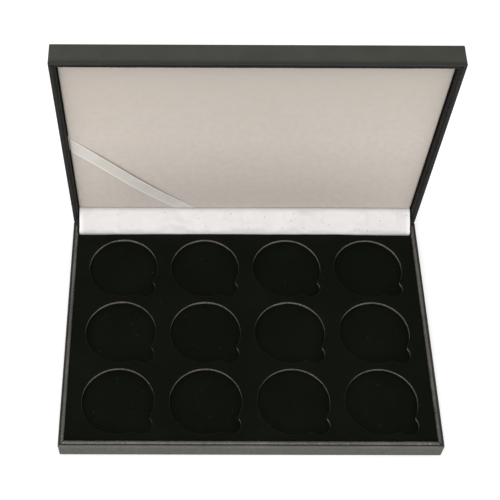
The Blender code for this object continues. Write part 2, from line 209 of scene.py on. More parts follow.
def between(tree, value, low, high, span=(0.35, 0.65)):
    """Two colours, mixed by a value across the given span."""
    ramp = add(tree, "ShaderNodeValToRGB", {"Fac": value})
    for stop, place, colour in zip(ramp.color_ramp.elements, span, (low, high)):
        stop.position, stop.color = place, (*colour, 1.0)
    return ramp.outputs["Color"]


def shifted(tree, value, low, high, span=(0.3, 0.7)):
    """A value moved from one span to another."""
    made = add(tree, "ShaderNodeMapRange", {
        "Value": value, "From Min": span[0], "From Max": span[1], "To Min": low, "To Max": high})
    return made.outputs["Result"]


def mixed(tree, factor, first, second, blend="MIX"):
    """Two colours mixed by a factor."""
    made = add(tree, "ShaderNodeMix", data_type="RGBA", blend_type=blend)
    for socket, value in zip((made.inputs[0], made.inputs[6], made.inputs[7]), (factor, first, second)):
        if isinstance(value, bpy.types.NodeSocket):
            tree.links.new(value, socket)
        elif isinstance(value, tuple):
            socket.default_value = (*value, 1.0)
        else:
            socket.default_value = value
    return made.outputs[2]


def maths(tree, operation, *values):
    """One sum of sockets or numbers."""
    return add(tree, "ShaderNodeMath", dict(enumerate(values)), operation=operation).outputs[0]


def painted(tree, name):
    """The value of this name that is painted on the mesh."""
    return add(tree, "ShaderNodeAttribute", attribute_name=name).outputs["Fac"]


def dress(tree, shader, colour, roughness=None):
    """Gives the shader its colour, and its roughness where that varies."""
    tree.links.new(colour, shader.inputs["Base Color"])
    if roughness is not None:
        tree.links.new(roughness, shader.inputs["Roughness"])


def relief(tree, shader, *layers):
    """Stacks reliefs, each a height and how deep it is in metres, on the shader's normal."""
    normal = None
    for height, depth in layers:
        inputs = {"Height": height, "Distance": depth, "Strength": 1.0}
        if normal:
            inputs["Normal"] = normal
        normal = add(tree, "ShaderNodeBump", inputs).outputs["Normal"]
    tree.links.new(normal, shader.inputs["Normal"])


FINISHES = {}

# %% [markdown]
# ## Black leatherette
# The covering is cotton cloth under a black plastic skin, embossed with a fine pebble grain. Small
# cells with painted shade in the creases between them make the pebbles, and a second, finer noise
# breaks up their shine. Edges that are handled go a little paler, so a value painted on the mesh along
# the rims lightens the colour there, and along the front rim of the base it is a painted highlight.
# Below nothing it darkens it, as painted shade in the groove beside the bead and on the rims of the lid.

# %% Black leatherette
PEBBLES = 1500.0
PEBBLE_CREASE_SHADE, PAINTED_SHADE_BLACK, WORN_EDGE_AND_HIGHLIGHT = (0.012, 0.012, 0.011), (0.006, 0.006, 0.005), (0.105, 0.102, 0.090)


def leatherette(name, low, high, roughness, specular=0.38, crinkle=0.0):
    """The covering. Pulled tight round a bead it is smoother and full of small crinkles."""
    made, tree, shader, coords = new_finish(name, roughness, specular)
    cells = add(tree, "ShaderNodeTexVoronoi", {"Vector": coords, "Scale": PEBBLES, "Randomness": 0.9},
                feature="DISTANCE_TO_EDGE")
    pebbles = shifted(tree, cells.outputs["Distance"], 0.0, 1.0, (0.0, 0.22))
    cloudy = speckle(tree, coords, 55.0, 4.0)
    fine = speckle(tree, coords, 5200.0, 2.0)
    wear_highlight_shade = painted(tree, "wear_highlight_shade")
    colour = between(tree, cloudy, low, high)
    # Painted shade in the creases between the pebbles.
    colour = mixed(tree, shifted(tree, pebbles, 0.45, 0.0, (0.0, 1.0)), colour, PEBBLE_CREASE_SHADE)
    # Above nothing the value lightens: a little wear, and a painted highlight on the base's front rim. Below
    # nothing it darkens, as painted shade.
    colour = mixed(tree, maths(tree, "MULTIPLY", wear_highlight_shade, shifted(tree, cloudy, 0.25, 0.85)), colour, WORN_EDGE_AND_HIGHLIGHT)
    colour = mixed(tree, maths(tree, "MULTIPLY", wear_highlight_shade, -1.0), colour, PAINTED_SHADE_BLACK)
    dress(tree, shader, colour,
          shifted(tree, speckle(tree, coords, 900.0), roughness - 0.10, roughness + 0.10))
    crinkles = speckle(tree, coords, 300.0, 3.0, (1.0, 0.5, 1.0))
    relief(tree, shader, (cloudy, 0.00008), (pebbles, 0.00004), (fine, 0.000012), (crinkles, crinkle))
    return made


FINISHES["black_leatherette"] = leatherette(
    "leatherette_grain", (0.041, 0.0415, 0.0300), (0.051, 0.0515, 0.0380), 0.50)
# Lit and shaded copies of the covering for the beads: the base's copy is paler, a painted highlight, and the
# lid's copy is near black, painted shade.
FINISHES["lit_bead_leatherette"] = leatherette(
    "leatherette_bead_painted_highlight", (0.046, 0.046, 0.036), (0.100, 0.098, 0.082), 0.22, 0.90, 0.0009)
FINISHES["shaded_bead_leatherette"] = leatherette(
    "leatherette_bead_painted_shade", (0.006, 0.006, 0.005), (0.013, 0.013, 0.011), 0.55, 0.12, 0.0003)
print("leatherette: pebbles about", round(1000 / PEBBLES, 2), "mm across")

# %% [markdown]
# ## Greyboard, cut edges, foam and paper
# Greyboard is pressed waste paper: grey-brown, matt and full of short fibres, in faint layers. Where
# the tray board is punched its wall is pale at the top and painted black further down, as painted
# shade inside the recess. The foam is open-celled, and the sheet under the base is black craft paper.

# %% Greyboard, cut edges, foam and paper
PLIES_SHOW = 0.25
PALE_WALL = 0.0013


def board(low, high):
    """Pressed board, whose plies show a little along Z."""
    made, tree, shader, coords = new_finish("greyboard", 0.92, 0.2)
    fibres = speckle(tree, coords, 900.0, 4.0, (1.0, 0.35, 0.6))
    plies = speckle(tree, coords, 1300.0, 2.0, (0.06, 0.06, 1.0))
    colour = between(tree, fibres, low, high)
    dark = tuple(0.45 * part for part in low)
    colour = mixed(tree, shifted(tree, plies, 0.0, PLIES_SHOW, (0.5, 0.7)), colour, dark)
    dress(tree, shader, colour, shifted(tree, fibres, 0.85, 1.0))
    relief(tree, shader, (fibres, 0.00012), (plies, 0.00006 * PLIES_SHOW))
    return made


def punched_wall(top, pale):
    """The wall of a punched hole: pale near the top, and black further down as painted shade in the recess.
    """
    made, tree, shader, coords = new_finish("punched_edge", 0.95, 0.1)
    fibres = speckle(tree, coords, 1100.0, 3.0)
    broad = speckle(tree, coords, 70.0, 3.0)
    height = add(tree, "ShaderNodeSeparateXYZ", {0: coords}).outputs["Z"]
    depth = maths(tree, "SUBTRACT", top, height)
    ragged = maths(tree, "ADD", depth, shifted(tree, broad, -0.0005, 0.0005))
    colour = between(tree, fibres, (0.10, 0.094, 0.078), (0.40, 0.37, 0.315), (0.35, 0.75))
    # Painted shade: black further down the wall, inside the recess.
    painted_shade_down_wall = shifted(tree, ragged, 0.0, 1.0, (0.6 * pale, 1.3 * pale))
    dress(tree, shader, mixed(tree, painted_shade_down_wall, colour, PAINTED_SHADE_BLACK))
    relief(tree, shader, (fibres, 0.00012))
    return made


def foam_cells():
    made, tree, shader, coords = new_finish("foam_cells", 0.95, 0.2)
    cells = add(tree, "ShaderNodeTexVoronoi", {"Vector": coords, "Scale": 1400.0}).outputs["Distance"]
    dress(tree, shader, between(tree, cells, (0.62, 0.62, 0.58), (0.30, 0.30, 0.27), (0.3, 0.75)))
    relief(tree, shader, (cells, 0.0003))
    return made


def craft_paper():
    made, tree, shader, coords = new_finish("craft_paper", 0.85, 0.25)
    fibres = speckle(tree, coords, 700.0, 5.0, (1.0, 0.4, 1.0))
    dress(tree, shader, between(tree, fibres, (0.014, 0.014, 0.014), (0.030, 0.030, 0.029)),
          shifted(tree, fibres, 0.75, 0.92))
    relief(tree, shader, (fibres, 0.00005))
    return made


FINISHES["grey_board"] = board((0.24, 0.215, 0.18), (0.34, 0.31, 0.265))
FINISHES["punched_edge"] = punched_wall(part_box("tray_board")[1].z, PALE_WALL)
FINISHES["foam"] = foam_cells()
FINISHES["black_paper"] = craft_paper()
print("boards, foam and paper ready")

# %% [markdown]
# ## Black velvet
# Velvet is almost black from every side, because its pile stands up and traps the light. Its faint
# grey comes from the tips of the pile, so the sheen is low, tinted and rough, and the shader's own
# gloss is nearly off. Broad soft patches show where the pile leans a different way. Where the mesh
# has a value called cut, on the lip of each recess, a paler brown-grey is painted: partly the backing
# of the cloth showing, partly a painted highlight where the lip catches light.

# %% Black velvet
def velvet():
    made, tree, shader, coords = new_finish(
        "velvet_pile", 1.0, 0.04, Sheen_Weight=0.10, Sheen_Roughness=0.45,
        Sheen_Tint=(0.32, 0.34, 0.28, 1.0))
    nap = speckle(tree, coords, 38.0, 3.0)
    pile = speckle(tree, coords, 3600.0, 3.0)
    colour = between(tree, pile, (0.0018, 0.0023, 0.0015), (0.0066, 0.0085, 0.0056))
    leaning = mixed(tree, shifted(tree, nap, 0.0, 0.6, (0.45, 0.7)), colour, (0.0062, 0.0076, 0.0052))
    # Paler brown-grey on the cut lip: the backing's own colour, and a painted highlight where the lip catches
    # light.
    ragged = maths(tree, "MULTIPLY", painted(tree, "cut"),
                   shifted(tree, speckle(tree, coords, 1100.0), 0.25, 1.0))
    dress(tree, shader, mixed(tree, ragged, leaning, (0.15, 0.14, 0.11)))
    relief(tree, shader, (nap, 0.00010), (pile, 0.00010))
    return made


FINISHES["black_velvet"] = velvet()
print("velvet pile ready")

# %% [markdown]
# ## Flocked lining
# The lining of the lid is a warm off-white cloth with short fibres blown onto glue, like thin suede.
# It looks even from afar and mottled from near by, with small pits where the flock is thin. Towards
# the top of the open lid it is painted darker, as painted shade under the rim.

# %% Flocked lining
def flock():
    made, tree, shader, coords = new_finish(
        "flocked_cloth", 0.95, 0.15, Sheen_Weight=0.25, Sheen_Roughness=0.5)
    tufts = speckle(tree, coords, 2600.0, 3.0)
    patches = speckle(tree, coords, 260.0, 4.0)
    broad = speckle(tree, coords, 22.0, 3.0)
    colour = between(tree, patches, (0.532, 0.474, 0.422), (0.578, 0.520, 0.468), (0.30, 0.66))
    colour = mixed(tree, shifted(tree, tufts, 0.0, 0.40, (0.5, 0.75)), colour, (0.635, 0.582, 0.530))
    colour = mixed(tree, shifted(tree, broad, 0.0, 0.30), colour, (0.532, 0.470, 0.416))
    height = add(tree, "ShaderNodeSeparateXYZ", {0: coords}).outputs["Z"]
    # Painted shade: darker towards the top of the open lid, under the rim.
    painted_shade_near_top = shifted(tree, height, 0.0, 0.85, (0.105, 0.178))
    colour = mixed(tree, painted_shade_near_top, colour, (0.421, 0.374, 0.331))
    pits = shifted(tree, speckle(tree, coords, 1500.0, 2.0), 0.0, 0.5, (0.66, 0.74))
    dress(tree, shader, mixed(tree, pits, colour, (0.36, 0.31, 0.27)))
    relief(tree, shader, (broad, 0.0003), (patches, 0.00010), (tufts, 0.00006))
    return made


FINISHES["flocked_lining"] = flock()
print("flock ready")

# %% [markdown]
# ## Satin
# Satin floats its threads over one another, so it shines along one direction and shows very fine
# lines. The cloth strips below carry their own flat coordinates in metres, u along the strip and v
# across it, and the threads follow those. The selvedge, the woven edge of a ribbon, and the hems of
# the strip carry a value on the mesh, and are whiter there: partly a whiter, tighter weave, partly a
# painted highlight along the edges. Specks of dust lie here and there.

# %% Satin
def satin(name, low, high, roughness):
    made, tree, shader, coords = new_finish(
        name, roughness, 0.45, Sheen_Weight=0.12, Sheen_Roughness=0.35, Anisotropic=0.4)
    flat = add(tree, "ShaderNodeUVMap", uv_map="flat").outputs["UV"]
    threads = speckle(tree, flat, 1.0, 2.0, (260.0, 5200.0, 1.0))
    cross = speckle(tree, flat, 1.0, 2.0, (5200.0, 600.0, 1.0))
    soft = speckle(tree, coords, 60.0, 3.0)
    colour = between(tree, threads, low, high, (0.25, 0.7))
    colour = mixed(tree, shifted(tree, soft, 0.0, 0.4), colour, tuple(0.93 * part for part in low))
    # Whiter along selvedges and hems: partly the woven edge, partly a painted highlight.
    colour = mixed(tree, painted(tree, "selvedge_and_highlight"), colour, tuple(min(1.0, 1.12 * part) for part in high))
    dust = add(tree, "ShaderNodeTexVoronoi", {"Vector": flat, "Scale": 62.0},
               voronoi_dimensions="2D").outputs["Distance"]
    colour = mixed(tree, shifted(tree, dust, 0.8, 0.0, (0.012, 0.027)), colour, (0.20, 0.17, 0.15))
    dress(tree, shader, colour, shifted(tree, cross, roughness - 0.08, roughness + 0.12))
    relief(tree, shader, (soft, 0.00012), (threads, 0.00003), (cross, 0.00002))
    return made


FINISHES["white_satin"] = satin("white_satin", (0.755, 0.725, 0.715), (0.835, 0.815, 0.81), 0.42)
FINISHES["ribbon_satin"] = satin("ribbon_satin", (0.59, 0.56, 0.51), (0.70, 0.67, 0.625), 0.38)
print("satins ready")

# %% [markdown]
# ## Steel, floor
# The hinges are bright rolled steel, brushed along the sheet, with a few duller spots. The floor is
# a plain pale sheet with a trace of unevenness.

# %% Steel and floor
def steel():
    made, tree, shader, coords = new_finish("rolled_steel", 0.3, 0.5, Metallic=1.0)
    lines = speckle(tree, coords, 1.0, 3.0, (300.0, 5000.0, 5000.0))
    spots = speckle(tree, coords, 420.0, 4.0)
    colour = between(tree, lines, (0.46, 0.46, 0.47), (0.64, 0.64, 0.65))
    colour = mixed(tree, shifted(tree, spots, 0.0, 0.6, (0.6, 0.75)), colour, (0.26, 0.25, 0.24))
    dress(tree, shader, colour, shifted(tree, lines, 0.22, 0.42))
    relief(tree, shader, (lines, 0.00001), (spots, 0.00002))
    return made


def pale_floor():
    made, tree, shader, coords = new_finish("pale_floor", 0.8, 0.2)
    cloudy = speckle(tree, coords, 5.0, 4.0)
    dress(tree, shader, between(tree, cloudy, (0.93, 0.93, 0.93), (0.96, 0.96, 0.96)))
    shader.inputs["Emission Color"].default_value = WHITE
    shader.inputs["Emission Strength"].default_value = FLOOR_GLOW
    return made


FINISHES["hinge_steel"] = steel()
floor_mesh.materials.append(pale_floor())
print(len(FINISHES), "finishes")

# %% [markdown]
# ## Finishes for the parts that stay
# Boards, hinge leaves, pins, tacks and the sheet under the base are the right shape already. Each of
# them only gets the finish of its material.

# %% Finish the hard parts
KEPT = {"board": "grey_board", "leaf": "hinge_steel", "pin": "hinge_steel", "tack": "hinge_steel",
        "sheet": "black_paper"}
for name, part in frame["nodes"].items():
    kind = next((finish for word, finish in KEPT.items() if word in name.split("_")), None)
    if kind:
        part.data.materials.clear()
        part.data.materials.append(FINISHES[kind])

# %% [markdown]
# ## Helpers for meshes
# Most pieces here are rows of points joined by four-sided faces. A cover is a loft, whose rows go round
# the case. A block or a sheet is a shell, two grids of points with a wall round them. Both kinds are
# closed bodies with a thickness.

# %% Helpers for meshes
def to_piece(name, mesh, finish, place=None):
    """A finished mesh as an object at the origin, turned into its place first."""
    if place is not None:
        mesh.transform(place)
    mesh.name = name
    if not mesh.materials:
        mesh.materials.append(FINISHES[finish])
    piece = bpy.data.objects.new(name, mesh)
    scene.collection.objects.link(piece)
    return piece


def mesh_of(points, faces, crease=35.0):
    """A mesh with its faces turned outwards and smooth except over sharp creases."""
    mesh = bpy.data.meshes.new("made")
    mesh.from_pydata([tuple(p) for p in points], [], faces)
    shape = bmesh.new()
    shape.from_mesh(mesh)
    bmesh.ops.recalc_face_normals(shape, faces=shape.faces)
    shape.to_mesh(mesh)
    shape.free()
    mesh.shade_smooth()
    mesh.set_sharp_from_angle(angle=radians(crease))
    return mesh


def loft(rows, capped):
    """Points and faces through closed rows of the same length, capped or joined round to the first."""
    across, count = len(rows[0]), len(rows)
    points = [p for row in rows for p in row]
    faces = []
    for i in range(count - 1 if capped else count):
        near, far = i * across, (i + 1) % count * across
        for j in range(across):
            k = (j + 1) % across
            faces.append((near + j, near + k, far + k, far + j))
    for row in (0, count - 1) if capped else ():
        points.append(sum((Vector(p) for p in rows[row]), Vector()) / across)
        faces += [(len(points) - 1, row * across + j, row * across + (j + 1) % across)
                  for j in range(across)]
    return points, faces


def grid_faces(wide, tall, first=0):
    """Four-sided faces over a grid of points, the first of which has this number."""
    return [(first + j * wide + i, first + j * wide + i + 1, first + (j + 1) * wide + i + 1,
             first + (j + 1) * wide + i) for j in range(tall - 1) for i in range(wide - 1)]


def shell_faces(wide, tall):
    """Faces over two such grids, one behind the other, and the wall that joins their edges."""
    edge = list(range(wide)) + [j * wide + wide - 1 for j in range(1, tall)]
    edge += [(tall - 1) * wide + i for i in range(wide - 2, -1, -1)]
    edge += [j * wide for j in range(tall - 2, 0, -1)]
    behind = wide * tall
    wall = [(edge[i - 1], edge[i], edge[i] + behind, edge[i - 1] + behind) for i in range(len(edge))]
    return grid_faces(wide, tall) + grid_faces(wide, tall, behind) + wall


def paint(mesh, name, values):
    """A value for each point of a mesh, which a finish may read."""
    mesh.attributes.new(name, "FLOAT", "POINT").data.foreach_set("value", np.array(values, np.float32))


def bend(centre, radius, start, end, steps):
    """Points along an arc, both ends included."""
    turns = [start + (end - start) * i / steps for i in range(steps + 1)]
    return [(centre[0] + radius * cos(a), centre[1] + radius * sin(a)) for a in turns]


def rough(x, y, z, scale, seed=0.0):
    """Smooth noise from -1 to 1, of so many waves to the metre."""
    return noise.noise(Vector((x * scale + seed, y * scale - seed, z * scale + 3.1 * seed)))


print("mesh helpers ready")

# %% [markdown]
# ## The leatherette covers
# One sheet of leatherette is glued to each tray: under the bottom, up the walls, round the rim and a
# few millimetres down inside. A plain box with a bevel would do from afar, but the rounded rim is
# what catches the light, so the line across the sheet is drawn with true bends, and dips into a groove
# beside the bead. Round the case it follows a rectangle with tight corners, and glue and board make it
# waver by a few hundredths of a millimetre.

# %% The line round the case
SKIN = 0.00035
RIM_BEND, RIM_DIP = 0.00055, 0.00032
TIGHT_BEND = 0.00036
CORNER_RADIUS = 0.0006
TURN_IN = 0.00185
CORNER_STEPS, SIDE_STEPS = 7, (58, 42)


def outline(half_x, half_y, radius):
    """A rectangle with rounded corners, as the same number of points whatever its size."""
    points = []
    corners = ((1, 1, 0.0), (-1, 1, pi / 2), (-1, -1, pi), (1, -1, 3 * pi / 2))
    for number, (side_x, side_y, start) in enumerate(corners):
        middle = (side_x * (half_x - radius), side_y * (half_y - radius))
        curve = bend(middle, radius, start, start + pi / 2, CORNER_STEPS)
        points += curve
        following = corners[(number + 1) % 4]
        ahead = (following[0] * (half_x - radius), following[1] * (half_y - radius))
        goal = (ahead[0] + radius * cos(following[2]), ahead[1] + radius * sin(following[2]))
        steps = SIDE_STEPS[number % 2]
        points += [(curve[-1][0] + (goal[0] - curve[-1][0]) * i / steps,
                    curve[-1][1] + (goal[1] - curve[-1][1]) * i / steps) for i in range(1, steps)]
    return points


def thick_line(line, thickness):
    """Both sides of a line in a plane, as one closed loop."""
    sides = ([], [])
    for i, point in enumerate(line):
        before, after = line[max(i - 1, 0)], line[min(i + 1, len(line) - 1)]
        along = (after[0] - before[0], after[1] - before[1])
        long = hypot(*along)
        off = (-along[1] / long * thickness / 2, along[0] / long * thickness / 2)
        sides[0].append((point[0] + off[0], point[1] + off[1]))
        sides[1].append((point[0] - off[0], point[1] - off[1]))
    return sides[0][::-1] + sides[1]


print("turn-in reaches", round(1000 * TURN_IN, 2), "mm in from the wall")

# %% Base and lid covers
REAR_EASE, REAR_FROM = 0.003, 0.005
RIM_REACH = 0.0007


def cover(body, drawn, centre_y, place=None, closed=False):
    """A glued sheet round the case. drawn(bend, dip) is its line, as inset and height.

    The rims bend softly and dip into a groove, but at the rear, where base and lid meet, they are tight."""
    half_x, half_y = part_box("base_leatherette_wrap")[1].xy
    soft, tight = (thick_line(drawn(*shape), SKIN) for shape in ((RIM_BEND, RIM_DIP), (TIGHT_BEND, 0.0)))
    highest, lowest = max(height for _, height in soft), min(height for _, height in soft)
    rows, wear_highlight_shade = [], []
    for (inset, height), (tight_inset, tight_height) in zip(soft, tight):
        row = []
        outlines = [outline(half_x - i, half_y - i, max(CORNER_RADIUS - i, 0.00025))
                    for i in (inset, tight_inset)]
        for (x, y), (tight_x, tight_y) in zip(*outlines):
            rear = min(1.0, max(0.0, (y - half_y + REAR_FROM) / REAR_EASE))
            x, y = x + (tight_x - x) * rear, y + (tight_y - y) * rear
            z = height + (tight_height - height) * rear
            pucker = 0.00006 if 0.001 < inset < 0.003 else 0.00002
            away = pucker * rough(x, y, z, 160.0, 1.0) + 0.00003 * rough(x, y, z, 18.0, 4.0)
            away, long = away * (1.0 - rear), hypot(x, y)
            if inset < 0.004:
                z += 0.00003 * rough(x, y, 0.0, 70.0, 9.0) * (1.0 - rear)
            row.append((x - away * x / long, y - away * y / long + centre_y, z))
        rows.append(row)
        # On the rims: a painted highlight along the base's front rim, its other rims a little paler, and
        # painted shade in the groove by the bead and on every rim of the lid.
        at_rim = (lowest + RIM_REACH > height) if closed else (highest - RIM_REACH < height)
        for _, y, _ in row:
            front = y - centre_y < 0.003 - half_y
            bent = -0.9 if inset > 0.0008 or closed else 0.9 if front else 0.1
            wear_highlight_shade.append(bent if at_rim and inset < 0.0022 else 0.0)
    points, faces = loft(rows, closed)
    mesh = mesh_of(points, faces, 60.0)
    paint(mesh, "wear_highlight_shade", wear_highlight_shade + [0.0] * (len(points) - len(wear_highlight_shade)))
    piece = to_piece(f"{body}_cover", mesh, "black_leatherette", place)
    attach(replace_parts(piece, f"{body}_leatherette_wrap"), body)


half, inner = SKIN / 2, TURN_IN - SKIN / 2


def base_line(bent, dip):
    """Under the bottom, up the wall, over the rim and down inside."""
    low, high = (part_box("base_leatherette_wrap")[i].z + sign * half for i, sign in ((0, 1), (1, -1)))
    turn = bent - half
    line = [(0.015, low), (0.008, low), (0.003, low)] + bend((bent, low + turn), turn, -pi / 2, -pi, 6)
    line += [(half, low + (high - low) * share) for share in (0.3, 0.45, 0.6, 0.75)]
    line += bend((bent, high - turn), turn, pi, pi / 2, 6)
    line += [(0.00080, high - 0.4 * dip), (0.00100, high - dip), (0.00125, high - dip)]
    line += bend((inner - turn, high - dip - turn), turn, pi / 2, 0.0, 6)
    return line + [(inner, high - 0.0025), (inner, high - 0.0042)]


def lid_line(bent, dip):
    """Up inside, over the rim, up the wall and over the top to the middle."""
    low, high = lid_low.z + half, lid_high.z - half
    turn = bent - half
    line = [(inner, low + 0.0042), (inner, low + 0.0025)]
    line += bend((inner - turn, low + dip + turn), turn, 0.0, -pi / 2, 6)
    line += [(0.00125, low + dip), (0.00100, low + dip), (0.00080, low + 0.4 * dip)]
    line += bend((bent, low + turn), turn, -pi / 2, -pi, 6)
    line += [(half, low + (high - low) * share) for share in (0.25, 0.4, 0.6, 0.75)]
    line += bend((bent, high - turn), turn, pi, pi / 2, 6)
    return line + [(inset, high) for inset in (0.002, 0.005, 0.012, 0.025, 0.045, 0.065, 0.080)]


lid_low, lid_high = lid_box("lid_leatherette_wrap")
cover("base", base_line, 0.0)
cover("lid", lid_line, (lid_low.y + lid_high.y) / 2, OPENED, True)
print("covers made with bends of", 1000 * RIM_BEND, "and, at the rear,", 1000 * TIGHT_BEND, "mm")


# %% [markdown]
# ## Helpers for Geometry Nodes
# What repeats or follows a path is made by a node tree: its sizes are named inputs, and anything
# random has a fixed seed. The tree ends in Realize Instances and Set Material, the result is copied
# to a plain mesh, and the modifier goes.

# %% Helpers for Geometry Nodes
SOCKETS = {float: "NodeSocketFloat", int: "NodeSocketInt", bpy.types.Material: "NodeSocketMaterial"}


def new_tree(name, **inputs):
    """A node tree with named inputs. Returns it with its group input and its group output."""
    tree = bpy.data.node_groups.new(name, "GeometryNodeTree")
    tree.interface.new_socket("Geometry", in_out="INPUT", socket_type="NodeSocketGeometry")
    for key, kind in inputs.items():
        tree.interface.new_socket(key, in_out="INPUT", socket_type=SOCKETS[kind])
    tree.interface.new_socket("Geometry", in_out="OUTPUT", socket_type="NodeSocketGeometry")
    return tree, tree.nodes.new("NodeGroupInput").outputs, tree.nodes.new("NodeGroupOutput")


def close_tree(tree, given, output, geometry):
    """Ends a tree: instances made real, smooth, and in their material."""
    real = add(tree, "GeometryNodeRealizeInstances", {"Geometry": geometry}).outputs["Geometry"]
    smooth = add(tree, "GeometryNodeSetShadeSmooth", {"Geometry": real}).outputs["Geometry"]
    dressed = add(tree, "GeometryNodeSetMaterial", {"Geometry": smooth, "Material": given["Material"]})
    tree.links.new(dressed.outputs["Geometry"], output.inputs["Geometry"])


def grown(tree, start, **values):
    """Runs a tree on a mesh and returns the result as a plain mesh."""
    carrier = bpy.data.objects.new("carrier", start or bpy.data.meshes.new("empty"))
    scene.collection.objects.link(carrier)
    modifier = carrier.modifiers.new(tree.name, "NODES")
    modifier.node_group = tree
    for item in tree.interface.items_tree:
        if item.in_out == "INPUT" and item.name in values:
            modifier[item.identifier] = values[item.name]
    graph = bpy.context.evaluated_depsgraph_get()
    mesh = bpy.data.meshes.new_from_object(carrier.evaluated_get(graph), depsgraph=graph)
    carrier.modifiers.clear()
    bpy.data.objects.remove(carrier, do_unlink=True)
    return mesh


print("geometry node helpers ready")

# %% [markdown]
# ## The beads inside the rims
# Inside each wall a strip of thin board, rolled in leatherette, lines the case and stands as a soft
# bead beside the rim. Four of them meet in mitres, and the leatherette wrinkles where it is pulled
# round. A bead is a rounded section drawn along a straight path, so it suits Geometry Nodes: the
# mitre is a shear of the ends, and two noises push the surface in and out, one for short wrinkles
# across the bead and one for a slow waver along it. A bead is wider than the strip it stands for, but
# for the rear ones, and those at the sides keep clear of the velvet and the pad.

# %% The bead's node tree
def bead_tree():
    tree, given, output = new_tree(
        "rolled_bead", Length=float, Width=float, Height=float, Rounding=float, Spacing=float,
        Wrinkle=float, Waver=float, Seed=float, Material=bpy.types.Material)
    half_length = maths(tree, "MULTIPLY", given["Length"], 0.5)
    start = add(tree, "ShaderNodeCombineXYZ", {"X": maths(tree, "MULTIPLY", half_length, -1.0)})
    end = add(tree, "ShaderNodeCombineXYZ", {"X": half_length})
    line = add(tree, "GeometryNodeCurvePrimitiveLine", {"Start": start.outputs[0], "End": end.outputs[0]})
    path = add(tree, "GeometryNodeResampleCurve", {"Curve": line.outputs[0], "Length": given["Spacing"]},
               mode="LENGTH")
    section = add(tree, "GeometryNodeCurvePrimitiveQuadrilateral",
                  {"Width": given["Width"], "Height": given["Height"]})
    rounded = add(tree, "GeometryNodeFilletCurve",
                  {"Curve": section.outputs[0], "Radius": given["Rounding"], "Count": 5}, mode="POLY")
    fine = add(tree, "GeometryNodeResampleCurve", {"Curve": rounded.outputs[0], "Count": 44}, mode="COUNT")
    bead = add(tree, "GeometryNodeCurveToMesh",
               {"Curve": path.outputs[0], "Profile Curve": fine.outputs[0], "Fill Caps": True})

    place = add(tree, "GeometryNodeInputPosition").outputs[0]
    parts = add(tree, "ShaderNodeSeparateXYZ", {0: place})
    inside = maths(tree, "ADD", parts.outputs["Y"], maths(tree, "MULTIPLY", given["Width"], 0.5))
    shear = maths(tree, "SUBTRACT", 1.0,
                  maths(tree, "DIVIDE", maths(tree, "MULTIPLY", inside, 2.0), given["Length"]))
    mitred = add(tree, "ShaderNodeCombineXYZ", {
        "X": maths(tree, "MULTIPLY", parts.outputs["X"], shear),
        "Y": parts.outputs["Y"], "Z": parts.outputs["Z"]})
    cut = add(tree, "GeometryNodeSetPosition", {"Geometry": bead.outputs[0], "Position": mitred.outputs[0]})

    def push(scale, seed):
        """Noise across the bead, centred on nothing."""
        stretched = add(tree, "ShaderNodeVectorMath", {0: place, 1: scale}, operation="MULTIPLY")
        moved = add(tree, "ShaderNodeVectorMath", {0: stretched.outputs[0], 1: seed}, operation="ADD")
        found = add(tree, "ShaderNodeTexNoise", {"Vector": moved.outputs[0], "Scale": 1.0, "Detail": 2.0})
        return maths(tree, "SUBTRACT", found.outputs["Fac"], 0.5)

    end_share = maths(tree, "DIVIDE", maths(tree, "ABSOLUTE", parts.outputs["X"]), half_length)
    near_end = maths(tree, "ADD", 0.45, maths(tree, "POWER", end_share, 14.0))
    wrinkle = maths(tree, "MULTIPLY", push((520.0, 130.0, 130.0), given["Seed"]), given["Wrinkle"])
    wrinkle = maths(tree, "MULTIPLY", wrinkle, near_end)
    waver = maths(tree, "MULTIPLY", push((55.0, 160.0, 160.0), given["Seed"]), given["Waver"])
    normal = add(tree, "GeometryNodeInputNormal").outputs[0]
    offset = add(tree, "ShaderNodeVectorMath", {0: normal}, operation="SCALE")
    tree.links.new(maths(tree, "ADD", wrinkle, waver), offset.inputs["Scale"])
    soft = add(tree, "GeometryNodeSetPosition", {"Geometry": cut.outputs[0], "Offset": offset.outputs[0]})
    close_tree(tree, given, output, soft.outputs[0])
    return tree


BEAD = bead_tree()
print("bead tree has", len(BEAD.nodes), "nodes")

# %% Eight beads
BEAD_OUT, REAR_OUT, BEAD_IN, BEAD_PROUD = 0.00132, 0.00022, 0.00025, 0.00027
BEAD_GAP, SIDE_GIVE = 0.0003, 0.0006
# The base's beads take the paler copy, with painted highlight, and the lid's beads take the near-black copy,
# with painted shade.
BEAD_FINISH = {"base": "lit_bead_leatherette", "lid": "shaded_bead_leatherette"}


def bead(prefix, side, low, high, turn, place, seed):
    """One strip between two corners; turn brings its outer face to its wall."""
    size, middle = high - low, (low + high) / 2
    along_x = size.x > size.y
    length, width = (size.x, size.y) if along_x else (size.y, size.x)
    out = REAR_OUT if side == "rear" else BEAD_OUT
    inward = BEAD_IN - (SIDE_GIVE if side in ("left", "right") else 0.0)
    rolled = (width + out + inward) / 2 - 0.00004
    mesh = grown(
        BEAD, None, Length=length + 2 * out - BEAD_GAP, Width=width + out + inward,
        Height=size.z + BEAD_PROUD, Rounding=rolled, Spacing=0.0006,
        Wrinkle=0.00070, Waver=0.00020, Seed=seed, Material=FINISHES[BEAD_FINISH[prefix]])
    flip = Matrix.Rotation(pi, 4, "Y") if prefix == "lid" else Matrix.Identity(4)
    stand = Matrix.Translation(middle) @ Matrix.Rotation(turn, 4, "Z") @ flip
    stand = stand @ Matrix.Translation((0.0, (inward - out) / 2, BEAD_PROUD / 2))
    mesh.transform(stand)
    piece = to_piece(f"{prefix}_{side}_bead", mesh, BEAD_FINISH[prefix], place)
    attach(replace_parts(piece, f"{prefix}_{side}_collar"), prefix)


